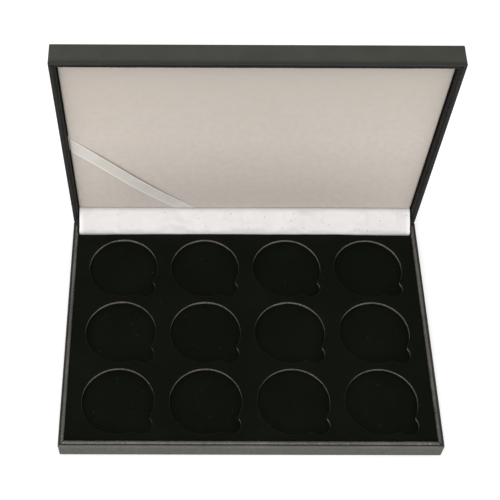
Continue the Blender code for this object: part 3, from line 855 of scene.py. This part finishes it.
TURNS = {"front": 0.0, "rear": pi, "left": -pi / 2, "right": pi / 2}
for number, (side, side_turn) in enumerate(TURNS.items()):
    bead("base", side, *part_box(f"base_{side}_collar"), side_turn, None, 3.0 + 7.0 * number)
    bead("lid", side, *lid_box(f"lid_{side}_collar"), side_turn, OPENED, 41.0 + 7.0 * number)

# %% [markdown]
# ## The punched tray
# The tray is a thick board faced with velvet. A die punches twelve round recesses through both, each
# with a small half-round notch for a fingertip at its lower right. The blade leaves the velvet a bit
# ragged and the board's wall fuzzy. The outline of one recess is two arcs, evened out and eased a
# little where they meet, and both the velvet and the board are pierced by the same outline.

# %% One recess outline
RECESS_RADIUS = 0.0232
NOTCH_RADIUS, NOTCH_REACH = 0.30 * RECESS_RADIUS, 0.96 * RECESS_RADIUS
NOTCH_TURN = radians(-47)
PITCH = (0.0559, 0.0505)
COLUMNS, ROWS = 4, 3
AROUND = 192


def evened(line, count):
    """The same closed line as so many points at even distances."""
    closed = np.array(line + line[:1])
    run = np.concatenate([[0.0], np.cumsum(np.linalg.norm(np.diff(closed, axis=0), axis=1))])
    stations = np.linspace(0.0, run[-1], count, endpoint=False)
    return np.stack([np.interp(stations, run, closed[:, axis]) for axis in (0, 1)], axis=1)


def recess_line():
    """The recess with its notch, about its own middle, and the direction out of it at each point."""
    radius, small, apart = RECESS_RADIUS, NOTCH_RADIUS, NOTCH_REACH
    meet = (radius ** 2 + apart ** 2 - small ** 2) / (2 * radius * apart)
    big = np.arccos(meet)
    little = np.arctan2(radius * sin(big), radius * cos(big) - apart)
    line = bend((0.0, 0.0), radius, NOTCH_TURN + big, NOTCH_TURN - big + 2 * pi, 150)
    middle = (apart * cos(NOTCH_TURN), apart * sin(NOTCH_TURN))
    line += bend(middle, small, NOTCH_TURN - little, NOTCH_TURN + little, 40)[1:-1]
    line = evened(line, AROUND)
    for _ in range(2):
        line = 0.25 * np.roll(line, 1, 0) + 0.5 * line + 0.25 * np.roll(line, -1, 0)
    along = np.roll(line, -1, 0) - np.roll(line, 1, 0)
    out = np.stack([along[:, 1], -along[:, 0]], axis=1) / np.linalg.norm(along, axis=1)[:, None]
    return line, out


RECESS_LINE, RECESS_OUT = recess_line()
tray_low, tray_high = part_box("tray_velvet")
tray_middle = (tray_low + tray_high) / 2
RECESSES = [Vector((tray_middle.x + (column - (COLUMNS - 1) / 2) * PITCH[0],
                    tray_middle.y + (row - (ROWS - 1) / 2) * PITCH[1]))
            for row in range(ROWS) for column in range(COLUMNS)]
print(len(RECESSES), "recesses, the first at", [round(v, 4) for v in RECESSES[0]])

# %% The velvet facing and the board under it
def pierced(name, low, high, rows, waver, swell, finish, crease):
    """A plate with every recess through it, its edges wavering and its rear one swelling out.

    From the top, each row gives an outset, a height, a raggedness and how much of the paler lip colour,
    backing and painted highlight, shows."""
    shape = bmesh.new()
    backing = shape.verts.layers.float.new("cut")

    def joined(first, second):
        for i in range(len(first)):
            shape.faces.new((first[i - 1], first[i], second[i], second[i - 1]))

    def closed_edges(ring):
        return [shape.edges.get((ring[i - 1], ring[i])) for i in range(len(ring))]

    sides = []
    for (x0, y0), (x1, y1) in (((low.x, low.y), (high.x, low.y)), ((high.x, low.y), (high.x, high.y)),
                               ((high.x, high.y), (low.x, high.y)), ((low.x, high.y), (low.x, low.y))):
        sides += [(x0 + (x1 - x0) * i / 60, y0 + (y1 - y0) * i / 60) for i in range(60)]
    rims = []
    for height in (high.z, high.z - 0.00012, low.z):
        inset = 0.0 if height < high.z else 0.0001
        ring = []
        for x, y in sides:
            wave = waver * rough(x, y, 0.0, 90.0, 2.0)
            if y > high.y - 1e-6:
                sway = 0.5 * rough(x, 0.0, 0.0, 24.0, 71.0)
                wave -= swell * (0.7 * cos(pi * x / (high.x - low.x)) + sway)
            ring.append(shape.verts.new((x - inset * np.sign(x), y - wave - inset * np.sign(y), height)))
        rims.append(ring)
    for upper, lower in zip(rims, rims[1:]):
        joined(upper, lower)
    top_edges, bottom_edges = closed_edges(rims[0]), closed_edges(rims[-1])
    for number, middle in enumerate(RECESSES):
        rings = []
        for outset, height, ragged, shows in rows:
            ring = []
            for (x, y), (out_x, out_y) in zip(RECESS_LINE, RECESS_OUT):
                fray = ragged * (0.6 * rough(x, y, height, 1300.0, 5.0 * number)
                                 + 0.5 * rough(x, y, height, 330.0, 11.0 + number))
                away = outset + fray
                ring.append(shape.verts.new((middle.x + x + out_x * away, middle.y + y + out_y * away,
                                             height + 0.4 * abs(fray))))
                ring[-1][backing] = shows
            rings.append(ring)
        for upper, lower in zip(rings, rings[1:]):
            joined(upper, lower)
        top_edges += closed_edges(rings[0])
        bottom_edges += closed_edges(rings[-1])
    bmesh.ops.triangle_fill(shape, use_beauty=True, edges=top_edges)
    bmesh.ops.triangle_fill(shape, use_beauty=True, edges=bottom_edges)
    bmesh.ops.recalc_face_normals(shape, faces=shape.faces)
    mesh = bpy.data.meshes.new(name)
    shape.to_mesh(mesh)
    shape.free()
    mesh.shade_smooth()
    mesh.set_sharp_from_angle(angle=radians(crease))
    return to_piece(name, mesh, finish)


top, below = tray_high.z, tray_low.z
# The last value of each row is the paler lip colour, partly backing and partly painted highlight.
velvet_rows = [(0.0009, top, 0.0, 0.0), (0.00045, top, 0.0, 0.0), (0.0002, top - 0.00004, 0.00003, 0.0),
               (0.00005, top - 0.00013, 0.00010, 0.30), (0.0, top - 0.00030, 0.00016, 0.75),
               (0.00006, below, 0.00010, 0.75)]
give = Vector((SIDE_GIVE, 0.0, 0.0))
facing = pierced("velvet_facing", tray_low - give, tray_high + give, velvet_rows, 0.00016, 0.0010,
                 "black_velvet", 80.0)
board_low, board_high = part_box("tray_board")
board_rows = [(0.00008 + 0.00004 * (i % 2), board_high.z + (board_low.z - board_high.z) * i / 7,
               0.00008, 0.0) for i in range(8)]
punched = pierced("punched_board", board_low, board_high, board_rows, 0.0, 0.0, "punched_edge", 50.0)
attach(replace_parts(facing, "tray_velvet"), "base")
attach(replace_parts(punched, "tray_board"), "base")

# %% [markdown]
# ## Soft blocks
# The pad in the lid, the velvet floor of the recesses and the foam under it are all blocks with soft
# edges and a face that is not quite flat. One helper makes them: a grid that is finer near the edges,
# whose face rolls off in a quarter circle and follows whatever rise it is given.

# %% Soft blocks
def stations(low, high, rounding, spacing):
    """Places from low to high, closer together at the two rounded ends."""
    ends = [rounding * share for share in (0.0, 0.04, 0.12, 0.25, 0.42, 0.62, 0.82, 1.0, 1.4, 2.0)]
    count = max(2, ceil((high - low - 2 * ends[-1]) / spacing))
    middle = np.linspace(low + ends[-1], high - ends[-1], count + 1)[1:-1]
    return [low + e for e in ends] + list(middle) + [high - e for e in reversed(ends)]


def roll_off(inside, rounding):
    """How far a rounded edge has fallen, at so far into its corner."""
    return rounding - sqrt(max(0.0, rounding ** 2 - inside ** 2))


def soft_block(low, high, rounding, spacing, rise, face_up=True):
    """A closed block whose face is rounded at its edges and lifted by rise(x, y)."""
    xs, ys = stations(low.x, high.x, rounding, spacing), stations(low.y, high.y, rounding, spacing)
    back, face, out = (low.z, high.z, 1.0) if face_up else (high.z, low.z, -1.0)

    front, rear = [], []
    for y in ys:
        for x in xs:
            inside = hypot(max(0.0, rounding - min(x - low.x, high.x - x)),
                           max(0.0, rounding - min(y - low.y, high.y - y)))
            front.append((x, y, face + out * (rise(x, y) - roll_off(inside, rounding))))
            rear.append((x, y, back))
    return mesh_of(front + rear, shell_faces(len(xs), len(ys)), 70.0)


floor_low, floor_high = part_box("tray_floor_velvet")
floor_cloth = to_piece("recess_floor", soft_block(
    floor_low, floor_high, 0.0002, 0.0022,
    lambda x, y: 0.00007 * rough(x, y, 0.0, 120.0, 6.0) - 0.00007), "black_velvet")
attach(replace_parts(floor_cloth, "tray_floor_velvet"), "base")

foam = to_piece("tray_foam", soft_block(
    *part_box("tray_foam_underlay"), 0.0006, 0.004,
    lambda x, y: 0.00006 * rough(x, y, 0.0, 300.0, 8.0) - 0.00006), "foam")
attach(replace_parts(foam, "tray_foam_underlay"), "base")
print("recess floor and foam underlay made")

# %% [markdown]
# ## The cloth runs
# Blender's cloth gives two things that are hard to draw: how a lining crowns over foam, and how a
# strip of satin buckles when it is a little longer than its seam. Both runs are short, start from the
# same mesh every time, and only their result is kept.

# %% A cloth run
def settled(points, faces, pinned, frames, pressure=0.0, shrink=0.0, stiffness=15.0, bending=0.5,
            weight=1.0):
    """Where the points of a cloth have got to after some frames."""
    mesh = bpy.data.meshes.new("cloth")
    mesh.from_pydata([tuple(p) for p in points], [], faces)
    carrier = bpy.data.objects.new("cloth", mesh)
    scene.collection.objects.link(carrier)
    carrier.vertex_groups.new(name="pinned").add(pinned, 1.0, "REPLACE")
    modifier = carrier.modifiers.new("cloth", "CLOTH")
    cloth = modifier.settings
    cloth.vertex_group_mass = "pinned"
    cloth.quality, cloth.mass = 6, 0.15
    cloth.tension_stiffness = cloth.compression_stiffness = stiffness
    cloth.shear_stiffness, cloth.bending_stiffness = 5.0, bending
    cloth.shrink_min = shrink
    cloth.use_pressure, cloth.uniform_pressure_force = pressure > 0.0, pressure
    cloth.effector_weights.gravity = weight
    modifier.collision_settings.use_collision = False
    modifier.point_cache.frame_start, modifier.point_cache.frame_end = 1, frames
    for step in range(1, frames + 1):
        scene.frame_set(step)
    graph = bpy.context.evaluated_depsgraph_get()
    moved = [v.co.copy() for v in carrier.evaluated_get(graph).data.vertices]
    scene.frame_set(1)
    carrier.modifiers.clear()
    bpy.data.objects.remove(carrier, do_unlink=True)
    return moved


print("cloth runs are", "on")

# %% [markdown]
# ## The lid pad
# The pad is a sheet of foam on a board with flocked cloth pulled over it and glued behind. It is
# firm, so it crowns by less than a millimetre, most of it within a couple of centimetres of the edges,
# which roll off softly and leave a dark line all round. A coarse cloth is blown up a little with the
# cloth solver, and its rise is laid on a finer block. The pad comes nearer the hinge than the solids it
# stands for, and the seam there sways a little.

# %% The lid pad
PAD_CROWN = 0.0007
PAD_ROUNDING = 0.0016
PAD_TUCK = 0.0006
PAD_OVERHANG = 0.0044
SEAM_SWAY, SEAM_REACH = 0.0012, 0.012
CLOTH_CELL, PAD_FRAMES = 0.006, 16


def pad_rise(low, high):
    """How far the lining rises over the foam, from 0 to 1, as a function of the place."""
    wide = round((high.x - low.x) / CLOTH_CELL) + 1
    tall = round((high.y - low.y) / CLOTH_CELL) + 1
    xs, ys = np.linspace(low.x, high.x, wide), np.linspace(low.y, high.y, tall)
    points = [(x, y, 0.0) for y in ys for x in xs]
    pinned = [j * wide + i for j in range(tall) for i in range(wide)
              if i in (0, wide - 1) or j in (0, tall - 1)]
    moved = settled(points, grid_faces(wide, tall), pinned, PAD_FRAMES, pressure=4.0, weight=0.0)
    lifted = np.array([abs(p.z) for p in moved]).reshape(tall, wide)
    lifted = np.minimum(lifted / max(lifted.max(), 1e-9) * 1.6, 1.0)

    def rise(x, y):
        column = min(max((x - low.x) / (high.x - low.x), 0.0), 1.0) * (wide - 1)
        row = min(max((y - low.y) / (high.y - low.y), 0.0), 1.0) * (tall - 1)
        i, j = min(int(column), wide - 2), min(int(row), tall - 2)
        a, b = column - i, row - j
        near = lifted[j, i] * (1 - a) + lifted[j, i + 1] * a
        far = lifted[j + 1, i] * (1 - a) + lifted[j + 1, i + 1] * a
        return near * (1 - b) + far * b

    return rise


pad_low, pad_high = lid_box("lid_lining")[0], lid_box("lid_pad_foam")[1]
pad_high.y += PAD_OVERHANG
pad_low.x, pad_high.x = pad_low.x - SIDE_GIVE, pad_high.x + SIDE_GIVE
crown = pad_rise(pad_low, pad_high)
tucked = Vector((PAD_TUCK, PAD_TUCK, 0.0))


def pad_face(x, y):
    """Crown, a few broad hollows in the foam and a faint hand to the cloth."""
    hollows = 0.00014 * rough(x, y, 0.0, 22.0, 12.0) + 0.00003 * rough(x, y, 0.0, 140.0, 15.0)
    return PAD_CROWN * (crown(x, y) - 0.6) + hollows


pad_mesh = soft_block(pad_low + tucked, pad_high - tucked, PAD_ROUNDING, 0.0026, pad_face, False)
for corner in pad_mesh.vertices:
    near_seam = max(0.0, (corner.co.y - pad_high.y) / SEAM_REACH + 1.0)
    corner.co.y += SEAM_SWAY * near_seam ** 2 * rough(corner.co.x, 0.0, 0.0, 16.0, 61.0)
pad = to_piece("lid_pad", pad_mesh, "flocked_lining", OPENED)
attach(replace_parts(pad, "lid_lining", "lid_pad_foam"), "lid")
print("pad", [round(1000 * v, 1) for v in pad_high - pad_low], "mm with", len(pad.data.vertices), "points")

# %% [markdown]
# ## The satin strip over the hinges
# One strip of satin is glued behind the pad and behind the tray, and bows over the hinges, so the lid
# can shut without pulling it tight. Its two ends are turned in and pressed. It is cut slightly longer
# than the case is wide, and the extra length shows as soft creases. The bow is drawn as a smooth
# line, the cloth solver adds the creases, and the result is given a thickness. It crosses the hinge and
# is attached to neither body.

# %% The satin strip
STRIP_LINE = ((9.7, 8.2), (6.6, 8.3), (4.0, 8.1), (1.0, 7.3), (-1.8, 5.9), (-4.3, 4.1), (-6.4, 1.9),
              (-8.0, -0.5), (-9.0, -3.0), (-9.2, -6.0), (-9.2, -10.0))
STRIP_CELL = 0.0015
STRIP_THICK = 0.00022
STRIP_HEM = 0.0021
CREASE_LIMIT = 0.0008
STRIP_WAVE = 0.0008
CLOTH_SCALE, STRIP_FRAMES = 10.0, 24


def smooth_line(knots, spacing):
    """A smooth curve through points in a plane, as even steps."""
    knots = np.array(knots)
    padded = np.vstack([2 * knots[0] - knots[1], knots, 2 * knots[-1] - knots[-2]])
    fine = []
    for a, b, c, d in zip(padded, padded[1:], padded[2:], padded[3:]):
        for t in np.linspace(0.0, 1.0, 24, endpoint=False):
            fine.append(0.5 * (2 * b + (c - a) * t + (2 * a - 5 * b + 4 * c - d) * t ** 2
                               + (3 * b - a - 3 * c + d) * t ** 3))
    fine = np.array(fine + [knots[-1]])
    run = np.concatenate([[0.0], np.cumsum(np.linalg.norm(np.diff(fine, axis=0), axis=1))])
    even = np.linspace(0.0, run[-1], max(2, round(run[-1] / spacing)) + 1)
    return np.stack([np.interp(even, run, fine[:, axis]) for axis in (0, 1)], axis=1), run[-1]


def flat_map(mesh, coordinates):
    """Each point's place on the flat cloth, in metres, as the UV map called flat."""
    layer = mesh.uv_layers.new(name="flat")
    for loop, slot in zip(mesh.loops, layer.data):
        slot.uv = coordinates[loop.vertex_index]


def sheet_of(rows, thickness, coordinates, edge_values):
    """A closed sheet from a grid of points: both faces, its rim, flat coordinates and its whiter selvedge,
    partly a painted highlight.
    """
    tall, wide = len(rows), len(rows[0])
    grid = np.array([[tuple(p) for p in row] for row in rows])
    across = np.gradient(grid, axis=1)
    along = np.gradient(grid, axis=0)
    normal = np.cross(across, along)
    normal /= np.linalg.norm(normal, axis=2)[:, :, None]
    both = [grid + normal * thickness / 2, grid - normal * thickness / 2]
    points = [tuple(p) for side in both for row in side for p in row]
    mesh = mesh_of(points, shell_faces(wide, tall), 50.0)
    flat_map(mesh, [uv for _ in (0, 1) for row in coordinates for uv in row])
    paint(mesh, "selvedge_and_highlight", [v for _ in (0, 1) for row in edge_values for v in row])
    return mesh


strip_line, strip_length = smooth_line(STRIP_LINE, 1000 * STRIP_CELL)
strip_low, strip_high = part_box("hinge_cover_strip")
columns = round((strip_high.x - strip_low.x) / STRIP_CELL)
strip_xs = np.linspace(strip_low.x + 0.0002, strip_high.x - 0.0002, columns + 1)
wide, tall = len(strip_xs), len(strip_line)
shares = [j / (tall - 1) for j in range(tall)]
rest = []
for share, (y, z) in zip(shares, strip_line):
    loose = STRIP_WAVE * sin(pi * share) ** 2
    for x in strip_xs:
        swell = rough(x, 0.0, 0.0, 13.0, 50.0) + 0.6 * rough(0.5 * x, 3.0 * z / 1000, 0.0, 40.0, 51.0)
        swell *= loose
        rest.append(Vector((x, HINGE.y + y / 1000 - 0.8 * swell, HINGE.z + z / 1000 + 0.5 * swell)))
nudged = [p + Vector((0.0, -0.5, 0.5)) * 0.0006 * rough(p.x, p.y, p.z, 45.0, 21.0)
          * sin(pi * shares[n // wide]) for n, p in enumerate(rest)]
pinned = [n for n in range(len(rest)) if n // wide < 5 or n // wide > tall - 7]
moved = settled([p * CLOTH_SCALE for p in nudged], grid_faces(wide, tall), pinned, STRIP_FRAMES,
                shrink=-0.014, stiffness=20.0, bending=2.0, weight=0.2)
creased = [p / CLOTH_SCALE for p in moved]


def held_near(place, home, limit):
    """A point no further than the limit from where it started."""
    away = place - home
    return home + away * min(1.0, limit / max(away.length, 1e-9))


creased = [held_near(p, home, CREASE_LIMIT) for p, home in zip(creased, rest)]
rows = [creased[j * wide:(j + 1) * wide] for j in range(tall)]
flats = [[(x, strip_length / 1000 * share) for x in strip_xs] for share in shares]
# The hems at both ends are painted whiter, partly as a painted highlight along the folded edge.
edges = [[0.75 * (strip_high.x - abs(x) < STRIP_HEM) for x in strip_xs]] * tall
print("strip", round(strip_length, 1), "mm over its bow, creases up to",
      round(1000 * max((p - q).length for p, q in zip(creased, rest)), 2), "mm")

# %% Sew the strip in
for row, flat in zip(rows, flats):
    for point, (u, _) in zip(row, flat):
        hem = min(1.0, max(0.0, (STRIP_HEM - (strip_high.x - abs(u))) / 0.0005))
        point += Vector((0.0, -0.7, 0.7)) * 0.00022 * hem
strip = to_piece("satin_strip", sheet_of(rows, STRIP_THICK, flats, edges), "white_satin")
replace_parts(strip, "hinge_cover_strip")
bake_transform(strip)
print("strip sewn in with", len(strip.data.vertices), "points")

# %% [markdown]
# ## The hinge cloth
# Outside, a narrow strip of the same covering is glued over the joint between the two rear walls. It
# keeps light and dust out, and makes base and lid look like one piece at their corners. It folds into
# the joint while the lid is open and lies flat when it is shut, and it leaves out the two hinges.

# %% The hinge cloth
off, fold = 0.00010, 0.00045
HINGE_CLOTH_THICK, HINGE_CLOTH_HELD = 0.00016, 0.0060
HINGE_SPANS = {"left": (-0.1197, -0.0840), "middle": (-0.0600, 0.0600), "right": (0.0840, 0.1197)}
knots = [(off, -HINGE_CLOTH_HELD), (off, -0.0030), (off, -0.0012)]
knots += bend((off + fold, -off - fold), fold, pi, pi - OPEN_ANGLE, 8)
knots += [(along, along * cos(OPEN_ANGLE) - off) for along in (0.0012, 0.0030, HINGE_CLOTH_HELD)]
line, length = smooth_line(knots, 0.0002)
for hand, (x0, x1) in HINGE_SPANS.items():
    xs = np.linspace(x0, x1, 30)
    grid = [[Vector((x, HINGE.y + y, HINGE.z + z)) for x in xs] for y, z in line]
    coordinates = [[(x, length * j / (len(line) - 1)) for x in xs] for j in range(len(line))]
    cloth = to_piece(f"hinge_cloth_{hand}", sheet_of(grid, HINGE_CLOTH_THICK, coordinates,
                                                     [[0.0] * len(xs)] * len(line)), "black_leatherette")
    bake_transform(cloth)
print("hinge cloth", round(1000 * length, 1), "mm wide round the axis")

# %% [markdown]
# ## The springs behind the strip
# Each hinge has a bow spring that snaps the lid open or shut: a narrow band of spring steel from the
# base leaf, in a quarter bend, to the lid. It flexes as the lid turns.

# %% The springs
SPRING_THICK = 0.0003
LEAF_FACE, SPRING_FOOT, SPRING_TIP, SPRING_BEND = -0.0051, -0.0080, 0.0065, 0.0076


def spring(hand):
    """A bent steel band with its corners eased, in the place of the one in the frame."""
    low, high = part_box(f"hinge_spring_{hand}")
    lid_face = -LEAF_FACE + SPRING_THICK
    knots = [(LEAF_FACE, SPRING_FOOT), (LEAF_FACE, SPRING_FOOT / 2)]
    knots += bend((LEAF_FACE + SPRING_BEND, lid_face - SPRING_BEND), SPRING_BEND, pi, pi / 2, 14)
    knots.append((SPRING_TIP, lid_face + SPRING_TIP * cos(OPEN_ANGLE)))
    line, length = smooth_line(knots, 0.0006)
    middle, half_wide = (low.x + high.x) / 2, (high.x - low.x) / 2
    rows, flats, edges = [], [], []
    for j, (y, z) in enumerate(line):
        end = min(j, len(line) - 1 - j) * 0.0006
        narrow = half_wide - 0.0012 * (1 - min(1.0, end / 0.0018)) ** 2
        xs = [middle + narrow * share for share in np.linspace(-1.0, 1.0, 9)]
        rows.append([Vector((x, HINGE.y + y, HINGE.z + z)) for x in xs])
        flats.append([(x, length * j / (len(line) - 1)) for x in xs])
        edges.append([0.0] * len(xs))
    piece = to_piece(f"bow_spring_{hand}", sheet_of(rows, SPRING_THICK, flats, edges), "hinge_steel")
    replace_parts(piece, f"hinge_spring_{hand}")
    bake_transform(piece)


for hand in ("left", "right"):
    spring(hand)
print("springs bent to", 1000 * SPRING_BEND, "mm")

# %% [markdown]
# ## The ribbon
# A satin ribbon crosses the lower left corner of the pad to hold a certificate. Its ends go over the
# edges of the pad and are glued behind. It lies on the pad near its ends and stands off it a little
# in between, with a slight sway, because nothing pulls it flat. Its woven edges are thicker.

# %% The ribbon
RIBBON_WIDTH = 0.0097
RIBBON_THICK = 0.00020
RIBBON_LIFT, RIBBON_SWAY = 0.0010, 0.0005
RIBBON_ACROSS = RIBBON_WIDTH / cos(pi / 4)
SOLID_RIBBON_WIDTH = 0.0095
OFF_THE_ROLL = 0.13
face_z = pad_low.z
left, rear = pad_low.x + PAD_TUCK, pad_high.y - PAD_TUCK
side_middle = lid_box("lid_ribbon")[0].y + SOLID_RIBBON_WIDTH / cos(pi / 4) / 2


def pad_height(x, y):
    """The height of the pad's face in the lid's frame, with its rolled edges."""
    inside = hypot(max(0.0, PAD_ROUNDING - (x - left)), max(0.0, PAD_ROUNDING - (rear - y)))
    return face_z - pad_face(x, y) + roll_off(inside, PAD_ROUNDING)


STEPS_ALONG, STEPS_ACROSS = 110, 16
rows, flats, edges = [], [], []
ribbon_length = (rear - side_middle) * sqrt(2)
tucks = ((0.00020, 0.0030), (0.00020, 0.0022), (0.00022, 0.0014), (0.00018, 0.0008))
for j in range(STEPS_ALONG + 1 + 2 * len(tucks)):
    row, flat, edge = [], [], []
    share = min(max((j - len(tucks)) / STEPS_ALONG, 0.0), 1.0)
    ending = j if j < len(tucks) else STEPS_ALONG + 2 * len(tucks) - j
    for i in range(STEPS_ACROSS + 1):
        t = i / STEPS_ACROSS - 0.5
        y0 = side_middle + t * RIBBON_ACROSS
        run = rear - y0
        x, y = left + run * share, y0 + run * share
        sway = RIBBON_SWAY * sin(2 * pi * share) + 0.0002 * rough(x, y, 0.0, 60.0, 31.0) * sin(pi * share)
        x, y = x + sway * 0.7, y - sway * 0.7
        lift = RIBBON_LIFT * sin(pi * share) ** 1.5 + 0.00025 * (2 * t) ** 2 * sin(pi * share)
        lift += 0.00012 * rough(x, y, 0.0, 110.0, 33.0) * sin(pi * share)
        raised = 0.00010 if abs(t) > 0.43 else 0.0
        z = pad_height(x, y) - 0.00016 - lift - raised
        if ending < len(tucks):
            out, down = tucks[ending]
            z = face_z + down
            if share < 0.5:
                x -= out
            else:
                y += out
        row.append(OPENED @ Vector((x, y, z)))
        flat.append((ribbon_length * share, OFF_THE_ROLL + (0.5 + t) * RIBBON_WIDTH))
        # The selvedges are painted whiter, partly as a painted highlight along the edges.
        edge.append(0.8 if abs(t) > 0.42 else 0.0)
    rows.append(row)
    flats.append(flat)
    edges.append(edge)
ribbon = to_piece("corner_ribbon", sheet_of(rows, RIBBON_THICK, flats, edges), "ribbon_satin")
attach(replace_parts(ribbon, "lid_ribbon"), "lid")
print("ribbon", round(1000 * ribbon_length, 1), "mm between the edges of the pad")

# %% [markdown]
# ## The frayed edge of the velvet
# Where the velvet is punched, cut backing threads and pile stick out all round the recess. There are
# thousands, so a node tree puts one small fibre at every step along the outlines and gives each its
# own lean and length from a fixed seed. The fibres are brown-grey, because the backing is not dyed as
# deeply as the pile.

# %% Fibres and lint
def fibre_finish(name, low, high):
    made, tree, shader, coords = new_finish(name, 0.75, 0.3)
    dress(tree, shader, between(tree, speckle(tree, coords, 700.0), low, high),
          shifted(tree, speckle(tree, coords, 90.0), 0.6, 0.9))
    return made


FINISHES["cut_thread"] = fibre_finish("cut_thread", (0.020, 0.018, 0.013), (0.085, 0.074, 0.056))
FINISHES["pale_lint"] = fibre_finish("pale_lint", (0.16, 0.16, 0.14), (0.46, 0.45, 0.40))


def scattered(tree, given, points, part, lean):
    """The part at every point, each with its own lean and size."""
    turns = add(tree, "FunctionNodeRandomValue", {
        "Min": (-lean, -lean, 0.0), "Max": (lean, lean, 2 * pi), "Seed": given["Seed"]},
        data_type="FLOAT_VECTOR")
    sizes = add(tree, "FunctionNodeRandomValue", {2: 0.4, 3: 1.3, "Seed": given["Seed"]}, data_type="FLOAT")
    made = add(tree, "GeometryNodeInstanceOnPoints", {
        "Points": points, "Instance": part, "Rotation": turns.outputs[0], "Scale": sizes.outputs[1]})
    return made.outputs[0]


def bowed_fibre(tree, given, sides):
    """A thin bowed thread that stands on its point."""
    tip = add(tree, "ShaderNodeCombineXYZ", {
        "X": maths(tree, "MULTIPLY", given["Fibre"], 0.35), "Z": given["Fibre"]})
    belly = add(tree, "ShaderNodeCombineXYZ", {
        "X": maths(tree, "MULTIPLY", given["Fibre"], -0.12),
        "Z": maths(tree, "MULTIPLY", given["Fibre"], 0.6)})
    thread = add(tree, "GeometryNodeCurveQuadraticBezier", {
        "Resolution": sides - 1, "Start": (0.0, 0.0, 0.0), "Middle": belly.outputs[0], "End": tip.outputs[0]})
    section = add(tree, "GeometryNodeCurvePrimitiveCircle", {"Resolution": 3, "Radius": given["Thickness"]},
                  mode="RADIUS")
    made = add(tree, "GeometryNodeCurveToMesh", {
        "Curve": thread.outputs[0], "Profile Curve": section.outputs[0], "Fill Caps": True})
    return made.outputs[0]


def fray_tree():
    tree, given, output = new_tree("frayed_edge", Spacing=float, Fibre=float, Thickness=float, Seed=int,
                                   Material=bpy.types.Material)
    rim = add(tree, "GeometryNodeMeshToCurve", {"Mesh": given["Geometry"]})
    steps = add(tree, "GeometryNodeCurveToPoints", {"Curve": rim.outputs[0], "Length": given["Spacing"]},
                mode="LENGTH")
    close_tree(tree, given, output,
               scattered(tree, given, steps.outputs["Points"], bowed_fibre(tree, given, 3), 1.35))
    return tree


def lint_tree():
    tree, given, output = new_tree("lint", Density=float, Fibre=float, Thickness=float, Seed=int,
                                   Material=bpy.types.Material)
    drop = add(tree, "GeometryNodeDistributePointsOnFaces", {
        "Mesh": given["Geometry"], "Density": given["Density"], "Seed": given["Seed"]},
        distribute_method="RANDOM")
    close_tree(tree, given, output,
               scattered(tree, given, drop.outputs["Points"], bowed_fibre(tree, given, 6), 1.5))
    return tree


FRAY, LINT = fray_tree(), lint_tree()
print("fibre trees ready")

# %% Fray every recess, and drop some lint
points, edges = [], []
for middle in RECESSES:
    first = len(points)
    points += [(middle.x + x + 0.00004 * ox, middle.y + y + 0.00004 * oy, tray_high.z - 0.00030)
               for (x, y), (ox, oy) in zip(RECESS_LINE, RECESS_OUT)]
    edges += [(first + i, first + (i + 1) % AROUND) for i in range(AROUND)]
rims = bpy.data.meshes.new("rims")
rims.from_pydata(points, edges, [])
fray = to_piece("velvet_fray", grown(FRAY, rims, Spacing=0.00020, Fibre=0.00042, Thickness=0.00002, Seed=5,
                                     Material=FINISHES["cut_thread"]), "cut_thread")
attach(fray, "base")

LINT_CELLS = 60
points, faces = [], []
xs = np.linspace(tray_low.x + 0.001, tray_high.x - 0.001, LINT_CELLS)
ys = np.linspace(tray_low.y + 0.001, tray_high.y - 0.001, LINT_CELLS)
for y0, y1 in zip(ys, ys[1:]):
    for x0, x1 in zip(xs, xs[1:]):
        middle = Vector(((x0 + x1) / 2, (y0 + y1) / 2))
        near = min((middle - recess).length for recess in RECESSES)
        if near > RECESS_RADIUS + 0.008 or near < RECESS_RADIUS - 0.004:
            level = tray_high.z if near > RECESS_RADIUS else floor_high.z
            first = len(points)
            points += [(x0, y0, level), (x1, y0, level), (x1, y1, level), (x0, y1, level)]
            faces.append((first, first + 1, first + 2, first + 3))
patch = bpy.data.meshes.new("patch")
patch.from_pydata(points, [], faces)
lint = to_piece("velvet_lint", grown(LINT, patch, Density=4200.0, Fibre=0.0007, Thickness=0.000028, Seed=11,
                                     Material=FINISHES["pale_lint"]), "pale_lint")
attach(lint, "base")
print("fray", len(fray.data.polygons), "faces, lint", len(lint.data.polygons), "faces")
